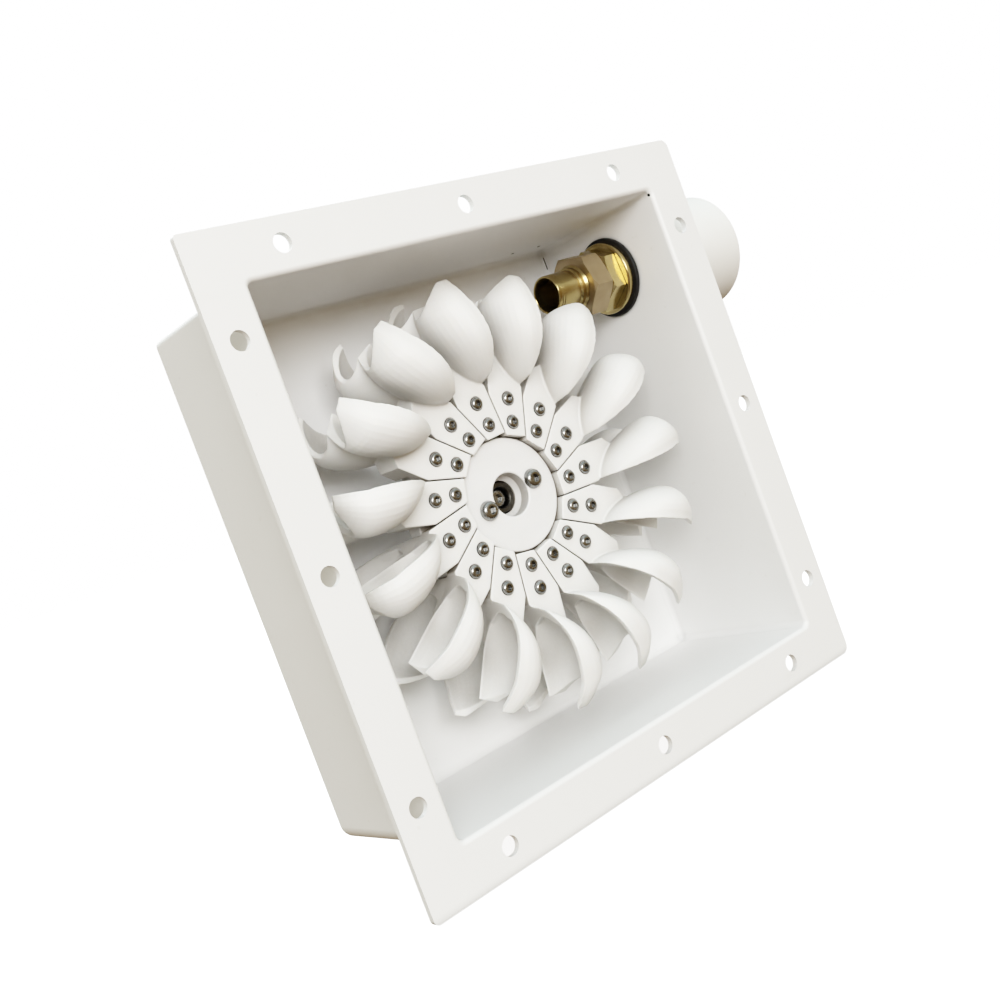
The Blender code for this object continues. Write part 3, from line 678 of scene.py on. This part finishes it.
def cup_backs(bm, along_steps=30, across_steps=18):
    """Both cups as one slab without their hollows: x is the radius, y the width and -z the open side."""
    tops, backs = [], []
    for i in range(along_steps + 1):
        top_row, back_row = [], []
        for j in range(-across_steps, across_steps + 1):
            across = rounded_step(abs(j), across_steps)
            nose = CUP_NOSE + NOSE_ROUND * max(2 * across - 1, 0.0) ** 2
            radius = nose + (FANG_TIP - nose) * (1 - math.cos(math.pi / 2 * i / along_steps))
            depth = cup_depth(radius, nose, BACK_DEPTH, BACK_LIFT)
            rise = open_side_rise(radius, across)
            width = rim_half_width(radius) * across
            if across < 0.5:
                bulge = 1 - GROOVE_SHARE * (1 - 2 * across) ** 2
                overhang = 0.0
            else:
                bulge = math.sqrt(max(1 - (2 * across - 1) ** 2, 0.0))
                overhang = BACK_OVERHANG * math.sin(math.pi * bulge) * max(depth, 0.0) / BACK_DEPTH
            back = depth * bulge + (RIM_EDGE - rise) * (1 - bulge)
            top_row.append(bm.verts.new((radius, math.copysign(width, j), -RIM_OFFSET - rise)))
            back_row.append(bm.verts.new((radius, math.copysign(width + overhang, j), back - RIM_OFFSET)))
        tops.append(top_row)
        backs.append(back_row)
    close_slab(bm, tops, backs)


def cup_hollows(bm, along_steps=24, across_steps=20):
    """The two hollows as closed cutters that reach out past the rim and past the fangs."""
    far = FANG_TIP + CUTTER_EXTRA
    for side in (-1, 1):
        lids, bottoms = [], []
        for i in range(along_steps + 1):
            lid_row, bottom_row = [], []
            for j in range(across_steps + 1):
                across = rounded_step(j, across_steps)
                roundness = HOLLOW_ROOT_INNER if across < 0.5 else HOLLOW_ROOT_OUTER
                root = HOLLOW_ROOT + roundness * (2 * across - 1) ** 2
                radius = root + (far - root) * (1 - math.cos(math.pi / 2 * i / along_steps))
                depth = cup_depth(radius, HOLLOW_ROOT, HOLLOW_DEPTH) if i else 0.0
                inner = splitter_half_width(radius)
                width = inner + (rim_half_width(radius) - RIM_BAND - inner) * across
                trough = math.sqrt(max(1 - (2 * across - 1) ** 2, 0.0))
                bottom = depth * trough - open_side_rise(radius, across) * (1 - trough)
                bottom_row.append(bm.verts.new((radius, side * width, bottom - RIM_OFFSET)))
                lid_row.append(bm.verts.new((radius, side * width, -RIM_OFFSET - HOLLOW_LID)))
            lids.append(lid_row)
            bottoms.append(bottom_row)
        close_slab(bm, lids, bottoms)


def cut_end(width):
    """Radius of the cut outer end: the splitter's tip, the notch beside it and the pointed fang."""
    if width < NOTCH_AT:
        return NOTCH_BOTTOM + (SPLITTER_TIP - NOTCH_BOTTOM) * (1 - width / NOTCH_AT) ** 2
    share = min((width - NOTCH_AT) / (FANG_INNER - NOTCH_AT), 1.0)
    return NOTCH_BOTTOM + (FANG_TIP + 0.3 * MM - NOTCH_BOTTOM) * (1 - math.sqrt(1 - share ** 2))


def end_cutter(steps=24):
    """What is cut off beyond the notches, as an outline in the rim's plane pushed through both cups."""
    widths = [NOTCH_AT * step / steps for step in range(steps)]
    for step in range(steps + 1):
        widths.append(NOTCH_AT + (FANG_INNER - NOTCH_AT) * math.sin(math.pi / 2 * step / steps))
    half = [(cut_end(width), width) for width in widths]
    other_half = [(radius, -width) for radius, width in reversed(half[1:])]
    far = FANG_TIP + CUTTER_EXTRA
    outline = other_half + half + [(far, FANG_INNER), (far, -FANG_INNER)]
    return extruded(outline, 2 * END_CUT_REACH, Matrix.Translation((0, 0, -END_CUT_REACH)))


def foot_open_side(radius):
    """The foot's flat side towards the jet, which slopes down to the rim's plane at the cup."""
    share = min(max((radius - SHOULDER_START) / (SHOULDER_END - SHOULDER_START), 0.0), 1.0)
    return FOOT_OPEN_SIDE + (RIM_OFFSET - FOOT_SINK - FOOT_OPEN_SIDE) * share


def foot_back_side(radius):
    """The foot's slanted side, along the next foot's open side with a thin gap, as far as its neck."""
    return max(NEXT_FOOT_RISE - (radius - NEXT_FOOT_START) * math.tan(PITCH), FOOT_NECK_BACK)


def foot_outline(inner):
    """Outline of the foot in (radius, tangent); the tangent is positive on the open side."""
    neck = NEXT_FOOT_START + (NEXT_FOOT_RISE - FOOT_NECK_BACK) / math.tan(PITCH)
    open_side = [stop for stop in (inner, SHOULDER_START, SHOULDER_END) if stop >= inner]
    back_side = [FOOT_OUTER] + [stop for stop in (neck,) if stop > inner] + [inner]
    outline = [(r, foot_open_side(r)) for r in open_side]
    outline.append((RIB_END, FOOT_SINK))
    return outline + [(r, foot_back_side(r)) for r in back_side]


def moulded_bucket():
    """One bucket: cups, hollows and foot joined, then remeshed so that its edges come out rounded."""
    def flat(outline, low, high):
        lift = Matrix(((1, 0, 0, 0), (0, 0, 1, low), (0, -1, 0, 0), (0, 0, 0, 1)))
        return extruded(outline, high - low, lift)

    plate = flat(foot_outline(FOOT_INNER), -FOOT_FACE, -PLATE_FRONT)
    block = flat(foot_outline(FOOT_STEP), -FOOT_FACE / 2, FOOT_FACE)
    rough = combined(mesh_from(cup_backs), ("UNION", plate), ("UNION", block),
                     ("DIFFERENCE", mesh_from(cup_hollows)), ("DIFFERENCE", end_cutter()))
    item = link(bpy.data.objects.new("work", rough))
    remesh = item.modifiers.new("voxels", "REMESH")
    remesh.mode = "VOXEL"
    remesh.voxel_size = VOXEL
    smooth = item.modifiers.new("round", "SMOOTH")
    smooth.factor = 0.5
    smooth.iterations = 2
    fewer = item.modifiers.new("fewer", "DECIMATE")
    fewer.ratio = BUCKET_KEEP
    mesh = evaluated(item)

    def pockets(bm):
        for radius, tangent in BUCKET_SCREWS:
            drill(bm, M4_HEAD[0] + HEAD_CLEARANCE, 2 * HEAD_SUNK,
                  Matrix.Translation((radius, -FOOT_FACE, tangent)) @ Matrix.Rotation(math.pi / 2, 4, "X"))
    return combined(mesh, ("DIFFERENCE", mesh_from(pockets)))


def bucket_turn(index):
    return Matrix.Translation(HUB) @ Matrix.Rotation(PITCH * index - FIRST_BUCKET_ANGLE, 4, "Y")


def make_buckets(nylon, stainless):
    shape = moulded_bucket()
    screw = button_screw(*M4_HEAD)
    count = 0
    for index in range(15):
        piece(f"bucket_skin_{index + 1:02d}", shape, nylon, "nylon", "wheel", f"bucket_{index + 1:02d}",
              place=bucket_turn(index))
        for radius, tangent in BUCKET_SCREWS:
            spot = Matrix.Translation((radius, HEAD_SUNK - FOOT_FACE, tangent))
            turn = Matrix.Rotation(math.pi / 2, 4, "X") @ Matrix.Rotation(GOLDEN_TURN * count, 4, "Z")
            count += 1
            piece(f"bucket_screw_{count:02d}", screw, stainless, "shaft_steel", "wheel",
                  place=bucket_turn(index) @ spot @ turn)


# Fasteners


def button_screw(radius, height, socket_radius, socket_depth):
    """A round-topped head with a hexagon socket, standing on the XY plane."""
    flat_radius = radius * 0.5
    rim = height * 0.18
    dome = [(0, 0), (radius, 0), (radius, rim)]
    steps = 8
    for step in range(1, steps + 1):
        share = math.sin(math.pi / 2 * step / steps)
        rise = math.sqrt(max(1 - (1 - share) ** 2, 0.0))
        dome.append((radius - (radius - flat_radius) * share, rim + (height - rim) * rise))
    dome.append((0, height))
    head = turned(dome, Matrix.Identity(4), 48)
    lift = Matrix.Translation((0, 0, height - socket_depth))
    socket = extruded(hexagon(socket_radius), socket_depth * 2, lift)
    return softened(combined(head, ("DIFFERENCE", socket)), 0.09 * MM, 2, 40)


def hex_head(radius, height, placement):
    """A hexagon head or nut with its corners chamfered."""
    prism = extruded(hexagon(radius), height, Matrix.Identity(4))
    apothem = radius * math.cos(math.pi / 6)
    reach = radius * 1.05
    rise = (reach - apothem) * math.tan(math.radians(30))
    cap = turned([(0, -MM), (reach, -MM), (reach, height - rise), (apothem, height), (0, height)],
                 Matrix.Identity(4), 64)
    mesh = softened(combined(prism, ("INTERSECT", cap)), 0.12 * MM, 2, 25)
    mesh.transform(placement)
    return mesh


# Nozzle and supply


def chamfered_hexagon(box, shape, cones, bore):
    """A bored hexagon in place of a CAD hexagon, whose corners are cut by a cone at both ends."""
    low, high = box
    depth = high.x - low.x
    (radius, turn), (front_cone, back_cone) = shape, cones
    outline = [(-radius * math.sin(turn + math.pi / 3 * k), -radius * math.cos(turn + math.pi / 3 * k))
               for k in range(6)]
    prism = extruded(outline, depth, Matrix.Identity(4))
    reach = radius * 1.02
    rise = math.tan(math.radians(32))
    cone = turned([(0, 0), (front_cone, 0), (reach, (reach - front_cone) * rise),
                   (reach, depth - (reach - back_cone) * rise), (back_cone, depth), (0, depth)],
                  Matrix.Identity(4), 128)
    hole = turned([(0, -MM), (bore, -MM), (bore, depth + MM), (0, depth + MM)], Matrix.Identity(4), 96)
    mesh = softened(combined(prism, ("INTERSECT", cone), ("DIFFERENCE", hole)), 0.25 * MM, 3, 22)
    mesh.transform(along_x(low.x))
    return mesh


def jet_tube():
    """The nozzle's tube: a rounded lip, two shallow grooves at the mouth, a shoulder at the hexagon."""
    low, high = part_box("nozzle_tip")
    length = high.x - low.x
    outer = (high.z - low.z) / 2
    bore = outer - 1.3 * MM
    groove = 0.35 * MM
    section = [(bore, length), (bore, 0.5 * MM)]
    section += arc((bore + 0.65 * MM, 0.55 * MM), 0.55 * MM, 180, 360, 8)
    for start in (1.9 * MM, 3.6 * MM):
        section += [(outer, start), (outer - groove, start + 0.25 * MM),
                    (outer - groove, start + 0.65 * MM), (outer, start + 0.95 * MM)]
    shoulder = length - 4.2 * MM
    section += [(outer, shoulder)]
    section += [(outer + 0.9 * MM, shoulder + 0.8 * MM), (outer + 0.9 * MM, length - 1.2 * MM),
                (outer + 2.0 * MM, length)]
    return turned(section, along_x(low.x), 128)


def threaded_tail():
    """The thread that carries the lock nut and passes through the wall."""
    low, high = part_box("nozzle_tail")
    outer = (high.z - low.z) / 2
    pitch = 1.8 * MM
    section = [(10 * MM, high.x - low.x), (10 * MM, 0)]
    turns = int((high.x - low.x) / pitch)
    for turn in range(turns):
        start = turn * pitch
        section += [(outer - 0.9 * MM, start), (outer, start + pitch * 0.42), (outer, start + pitch * 0.58)]
    section.append((outer - 0.9 * MM, high.x - low.x))
    return turned(section, along_x(low.x), 96)


def flat_ring(node, bore, edge):
    """A washer in place of a CAD ring, with rounded outer edges."""
    low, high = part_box(node)
    outer, depth = (high.z - low.z) / 2, high.x - low.x
    section = [(bore, depth), (bore, 0)]
    section += arc((outer - edge, edge), edge, -90, 0, 5) + arc((outer - edge * 0.5, depth - edge * 0.5),
                                                               edge * 0.5, 0, 90, 4)
    return turned(section, along_x(low.x), 128)


def supply_socket():
    """The pipe socket: collar, neck and bell, with a rounded mouth and a stop inside."""
    low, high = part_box("pipe_socket")
    length, outer = high.x - low.x, (high.z - low.z) / 2
    neck, bore, inlet = outer - 4 * MM, outer - 3.6 * MM, 10 * MM
    collar, shoulder, bell = 7 * MM, 16 * MM, 22 * MM
    floor = length - 38 * MM
    section = [(inlet, 0)] + arc((outer - 1 * MM, 1 * MM), 1 * MM, -90, 0)
    section += arc((outer - 1 * MM, collar - 1 * MM), 1 * MM, 0, 90)
    section += [(neck + 1 * MM, collar), (neck, collar + 1 * MM), (neck, shoulder)]
    section += [(neck + 1.2 * MM, shoulder + 1.2 * MM), (outer - 0.8 * MM, bell - 1.4 * MM), (outer, bell)]
    section += arc((outer - 1.6 * MM, length - 1.6 * MM), 1.6 * MM, 0, 90)
    section += [(bore + 1.0 * MM, length), (bore, length - 1.4 * MM), (bore - 0.5 * MM, floor),
                (inlet, floor)]
    return turned(section, along_x(low.x), 160)


def make_nozzle(brass, facets, rubber, plastic):
    piece("nozzle_tube", jet_tube(), brass, "brass", "casing", "nozzle_tip", sharp=35)
    body = chamfered_hexagon(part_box("nozzle_hexagon"), BODY_HEXAGON, BODY_CONES, TUBE_BORE)
    piece("nozzle_hex_body", body, facets, "brass", "casing", "nozzle_hexagon", sharp=30)
    piece("nozzle_thread", threaded_tail(), brass, "brass", "casing", "nozzle_tail", sharp=30)
    nut = chamfered_hexagon(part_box("lock_nut"), NUT_HEXAGON, NUT_CONES, THREAD_RADIUS)
    piece("nozzle_lock_nut", nut, brass, "brass", "casing", "lock_nut", sharp=30)
    washer = flat_ring("brass_washer", THREAD_RADIUS, 1.1 * MM)
    piece("nozzle_washer", washer, brass, "brass", "casing", "brass_washer", sharp=30)
    gasket = flat_ring("rubber_gasket", THREAD_RADIUS, 0.9 * MM)
    piece("nozzle_gasket", gasket, rubber, "rubber", "casing", "rubber_gasket", sharp=35)
    piece("supply_socket", supply_socket(), plastic, "pipe_plastic", "casing", "pipe_socket", sharp=35)


# Hub, shaft and bearing


def hub_section():
    face, recess, seat = -HUB_FACE, -HUB_FACE + HUB_RECESS_DEPTH, -HUB_FACE + HUB_SEAT_DEPTH
    bore = HUB_BORE_RADIUS + SHAFT_GAP
    section = [(bore, seat), (HUB_RECESS_RADIUS - 0.2 * MM, recess), (HUB_RECESS_RADIUS, recess - 0.3 * MM)]
    section += arc((HUB_RECESS_RADIUS + 1.0 * MM, face + 1.0 * MM), 1.0 * MM, 180, 270)
    section += arc((HUB_RADIUS - 0.8 * MM, face + 0.8 * MM), 0.8 * MM, -90, 0)
    section += [(HUB_RADIUS, -HUB_PLATE_FRONT), (HUB_PLATE_RADIUS - 0.5 * MM, -HUB_PLATE_FRONT),
                (HUB_PLATE_RADIUS, -HUB_PLATE_FRONT + 0.5 * MM),
                (HUB_PLATE_RADIUS, HUB_PLATE_BACK - 0.8 * MM),
                (HUB_PLATE_RADIUS - 0.8 * MM, HUB_PLATE_BACK), (bore, HUB_PLATE_BACK)]
    return section


def make_hub(nylon, stainless):
    on_axis = along_y(HUB.y)
    piece("hub_face", turned(hub_section(), on_axis, 160), nylon, "nylon", "wheel", "hub_disc", sharp=35)
    screw = button_screw(*M6_HEAD)
    for number, (x, z) in enumerate(HUB_SCREWS):
        spot = Matrix.Translation((HUB.x + x, HUB.y - HUB_FACE, HUB.z + z))
        turn = Matrix.Rotation(math.pi / 2, 4, "X") @ Matrix.Rotation(GOLDEN_TURN * number, 4, "Z")
        piece(f"hub_screw_{number + 1}", screw, stainless, "shaft_steel", "wheel", place=spot @ turn)


def make_shaft(stainless, dark_steel):
    """The socket bolt in the shaft's front end, and the shaft with its counterbore and centre hole."""
    low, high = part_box("shaft_bolt")
    outer, length = high.x - HUB.x, high.y - low.y
    bolt = turned([(0, 0)] + [(outer * 0.62, 0)] + arc((outer - 1.3 * MM, 1.3 * MM), 1.3 * MM, -90, 0)
                  + [(outer, length), (0, length)], Matrix.Identity(4), 64)
    socket = extruded(hexagon(2.4 * MM), 2.2 * MM, Matrix.Translation((0, 0, -0.4 * MM)))
    bolt = softened(combined(bolt, ("DIFFERENCE", socket)), 0.12 * MM, 2, 35)
    bolt.transform(along_y(low.y))
    piece("hub_bolt", bolt, stainless, "shaft_steel", "wheel", "shaft_bolt", sharp=35)

    low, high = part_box("wheel_shaft")
    length, edge = high.y - low.y, 0.8 * MM
    mouth = COUNTERBORE_RADIUS
    rod = turned([(0, COUNTERBORE_DEPTH), (mouth, COUNTERBORE_DEPTH),
                  (mouth, 0.4 * MM), (mouth + 0.4 * MM, 0),
                  (SHAFT_RADIUS - edge, 0), (SHAFT_RADIUS, edge), (SHAFT_RADIUS, length - edge),
                  (SHAFT_RADIUS - edge, length), (0, length)], along_y(low.y), 96)
    beyond = length + 0.1 * MM
    centre_hole = turned([(0, length - 2.4 * MM), (0.9 * MM, length - 1.6 * MM), (2.4 * MM, beyond),
                          (0, beyond)], along_y(low.y), 48)
    rod = combined(rod, ("DIFFERENCE", centre_hole))
    piece("shaft_rod", rod, dark_steel, "shaft_steel", "wheel", "wheel_shaft", sharp=35)


def make_collar(plain_steel):
    low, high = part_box("clamp_collar")
    outer, length, bore = high.x - HUB.x, high.y - low.y, SHAFT_RADIUS + SHAFT_GAP
    section = [(bore, length), (bore, 0)] + arc((outer - 0.8 * MM, 0.8 * MM), 0.8 * MM, -90, 0, 3)
    section += arc((outer - 0.8 * MM, length - 0.8 * MM), 0.8 * MM, 0, 90, 3)
    collar = turned(section, along_y(low.y), 96)

    def grub_holes(bm):
        for turn in (0.0, math.radians(120)):
            spoke = Matrix.Rotation(turn, 4, "Y") @ Vector((0, 0, outer))
            spot = Vector((HUB.x, (low.y + high.y) / 2, HUB.z)) + spoke
            drill(bm, 2.1 * MM, 4 * MM, Matrix.Translation(spot) @ aimed(spoke), 32)
    collar = softened(combined(collar, ("DIFFERENCE", mesh_from(grub_holes))), 0.15 * MM, 2, 35)
    piece("collar_ring", collar, plain_steel, "bearing_steel", "wheel", "clamp_collar", sharp=35)


def make_bearing(plain_steel, stainless, rubber):
    flange_outer, length = BEARING_HIGH.x - HUB.x, BEARING_HIGH.y - BEARING_LOW.y
    body_outer, flange_depth = BEARING_BODY_RADIUS, BEARING_FLANGE_DEPTH
    bore = SHAFT_RADIUS + SHAFT_GAP
    section = [(bore, 0)] + arc((flange_outer - 0.6 * MM, 0.6 * MM), 0.6 * MM, -90, 0, 3)
    section += arc((flange_outer - 1.2 * MM, flange_depth - 1.2 * MM), 1.2 * MM, 0, 90, 4)
    section += arc((body_outer + 2.0 * MM, flange_depth + 2.0 * MM), 2.0 * MM, 270, 180, 5)
    section += arc((body_outer - 1.4 * MM, length - 1.4 * MM), 1.4 * MM, 0, 90, 5)
    section += [(17.5 * MM, length), (17.0 * MM, length - 0.5 * MM), (17.0 * MM, length - 2.2 * MM),
                (bore, length - 2.2 * MM)]
    housing = turned(section, along_y(BEARING_LOW.y), 128)
    piece("bearing_block", housing, plain_steel, "bearing_steel", "casing", "bearing_housing", sharp=35)

    seal_bore = SHAFT_RADIUS + 0.35 * MM
    seal = turned([(seal_bore, 0), (16.6 * MM, 0), (16.6 * MM, 1.3 * MM), (15.6 * MM, 1.8 * MM),
                   (12.4 * MM, 1.1 * MM), (seal_bore + 0.6 * MM, 1.7 * MM), (seal_bore, 1.3 * MM)],
                  along_y(BEARING_HIGH.y - 2.1 * MM), 96)
    piece("bearing_seal", seal, rubber, "rubber", "casing", sharp=35)
    bolt = hex_head(4.6 * MM, 3.4 * MM, Matrix.Identity(4))
    for number in range(4):
        angle = math.pi / 4 + math.pi / 2 * number
        x, z = BEARING_BOLT_LINE * math.cos(angle), BEARING_BOLT_LINE * math.sin(angle)
        place = along_y(BEARING_LOW.y + flange_depth, x, z) @ Matrix.Rotation(0.4 * number, 4, "Z")
        piece(f"bearing_bolt_{number + 1}", bolt, stainless, "bearing_steel", "casing", place=place,
              sharp=30)


# Stage


def make_stage():
    def ground(bm):
        bmesh.ops.create_grid(bm, x_segments=1, y_segments=1, size=30.0)
    mesh = mesh_from(ground)
    mesh.materials.append(stage_floor_finish())
    floor = link(bpy.data.objects.new("stage_floor", mesh))
    floor.location = (0, 0, cad_low.z - 0.0005)
    floor.visible_diffuse = False
    floor.visible_glossy = False


def make_world():
    """A room that is bright above and warm at eye level, and that the camera sees as white."""
    world = bpy.data.worlds.new("studio")
    bpy.context.scene.world = world
    world.use_nodes = True
    nodes, links = world.node_tree.nodes, world.node_tree.links
    axes = nodes.new("ShaderNodeSeparateXYZ")
    links.new(nodes.new("ShaderNodeTexCoord").outputs["Generated"], axes.inputs["Vector"])
    height = nodes.new("ShaderNodeMapRange")
    height.inputs["From Min"].default_value = -1.0
    links.new(axes.outputs["Z"], height.inputs["Value"])
    room = nodes.new("ShaderNodeValToRGB")
    room.color_ramp.elements.new(0.5)
    for element, shade in zip(room.color_ramp.elements, ROOM_SHADES):
        element.color = (*shade, 1.0)
    links.new(height.outputs["Result"], room.inputs["Fac"])
    links.new(room.outputs["Color"], nodes["Background"].inputs["Color"])
    seen = nodes.new("ShaderNodeBackground")
    seen.inputs["Color"].default_value = (1, 1, 1, 1)
    seen.inputs["Strength"].default_value = WHITE_LEVEL
    choose = nodes.new("ShaderNodeMixShader")
    links.new(nodes.new("ShaderNodeLightPath").outputs["Is Camera Ray"], choose.inputs["Fac"])
    links.new(nodes["Background"].outputs["Background"], choose.inputs[1])
    links.new(seen.outputs["Background"], choose.inputs[2])
    links.new(choose.outputs["Shader"], nodes["World Output"].inputs["Surface"])


def lamp(name, azimuth, elevation, size, power):
    """A round area light that faces the hub; azimuth 0 is straight in front and grows to the right."""
    light = bpy.data.lights.new(name, "AREA")
    light.shape = "DISK"
    light.size = size
    light.energy = power
    item = link(bpy.data.objects.new(name, light))
    azimuth, elevation = math.radians(azimuth), math.radians(elevation)
    aim = Vector((math.sin(azimuth) * math.cos(elevation), -math.cos(azimuth) * math.cos(elevation),
                  math.sin(elevation)))
    item.location = HUB + aim * LAMP_DISTANCE
    item.rotation_mode = "QUATERNION"
    item.rotation_quaternion = (-aim).to_track_quat("-Z", "Y")


def soften_whites():
    """Roll the brightest values off, so that white surfaces keep their shape."""
    view = bpy.context.scene.view_settings
    view.view_transform = "Standard"
    view.use_curve_mapping = True
    view.curve_mapping.white_level = (WHITE_LEVEL,) * 3
    curve = view.curve_mapping.curves[3]
    roll_off = 1 - 1 / TONE_WHITE
    steps = 18
    for step in range(1, steps):
        share = (step / steps) ** 2
        bright = (share * WHITE_LEVEL) ** TONE_CONTRAST
        curve.points.new(share, bright / (1 + roll_off * bright))
    view.curve_mapping.update()


def make_camera():
    camera = bpy.data.cameras.new("photo_camera")
    camera.lens = CAMERA_LENS
    camera.sensor_width = CAMERA_SENSOR
    camera.clip_start = 0.01
    item = link(bpy.data.objects.new("photo_camera", camera))
    forward = Vector(CAMERA_FORWARD).normalized()
    right = Vector(CAMERA_RIGHT)
    right = (right - forward * right.dot(forward)).normalized()
    up = right.cross(forward)
    axes = Matrix((right, up, -forward)).transposed().to_4x4()
    item.matrix_world = Matrix.Translation(CAMERA_PLACE) @ axes
    bpy.context.scene.camera = item


def main():
    make_camera()
    paint = casing_paint()
    bucket_nylon = moulded_nylon("bucket_nylon_ivory", (0.84, 0.835, 0.81), (0.88, 0.877, 0.86), 0.55)
    hub_nylon = moulded_nylon("hub_nylon_white", (0.84, 0.84, 0.835), (0.875, 0.875, 0.87), 0.42)
    brass = turned_brass("nozzle_brass_turned", 900, (0.42, 0.33, 0.14), (0.54, 0.43, 0.21), 0.22)
    facets = turned_brass("nozzle_brass_milled", 160, (0.38, 0.29, 0.17), (0.46, 0.36, 0.22), 0.42)
    rubber = black_rubber()
    plastic = pipe_plastic()
    stainless = steel("screw_stainless", (0.20, 0.20, 0.195), (0.36, 0.36, 0.35), 0.24)
    plain_steel = steel("bearing_steel_grey", (0.50, 0.51, 0.52), (0.60, 0.61, 0.62), 0.32)
    dark_steel = steel("shaft_steel_dark", (0.055, 0.052, 0.045), (0.10, 0.095, 0.085), 0.35, (1, 0.05, 1))
    make_casing(paint)
    make_shade_plugs(rubber)
    make_buckets(bucket_nylon, stainless)
    make_nozzle(brass, facets, rubber, plastic)
    make_hub(hub_nylon, stainless)
    make_shaft(stainless, dark_steel)
    make_collar(plain_steel)
    make_bearing(plain_steel, stainless, rubber)
    make_stage()
    make_world()
    lamp("key_light", -14, 16, 0.9, KEY_POWER)
    lamp("side_light", -35, 16, 0.9, SIDE_POWER)
    lamp("back_light", 170, 30, 1.5, BACK_POWER)
    soften_whites()


main()
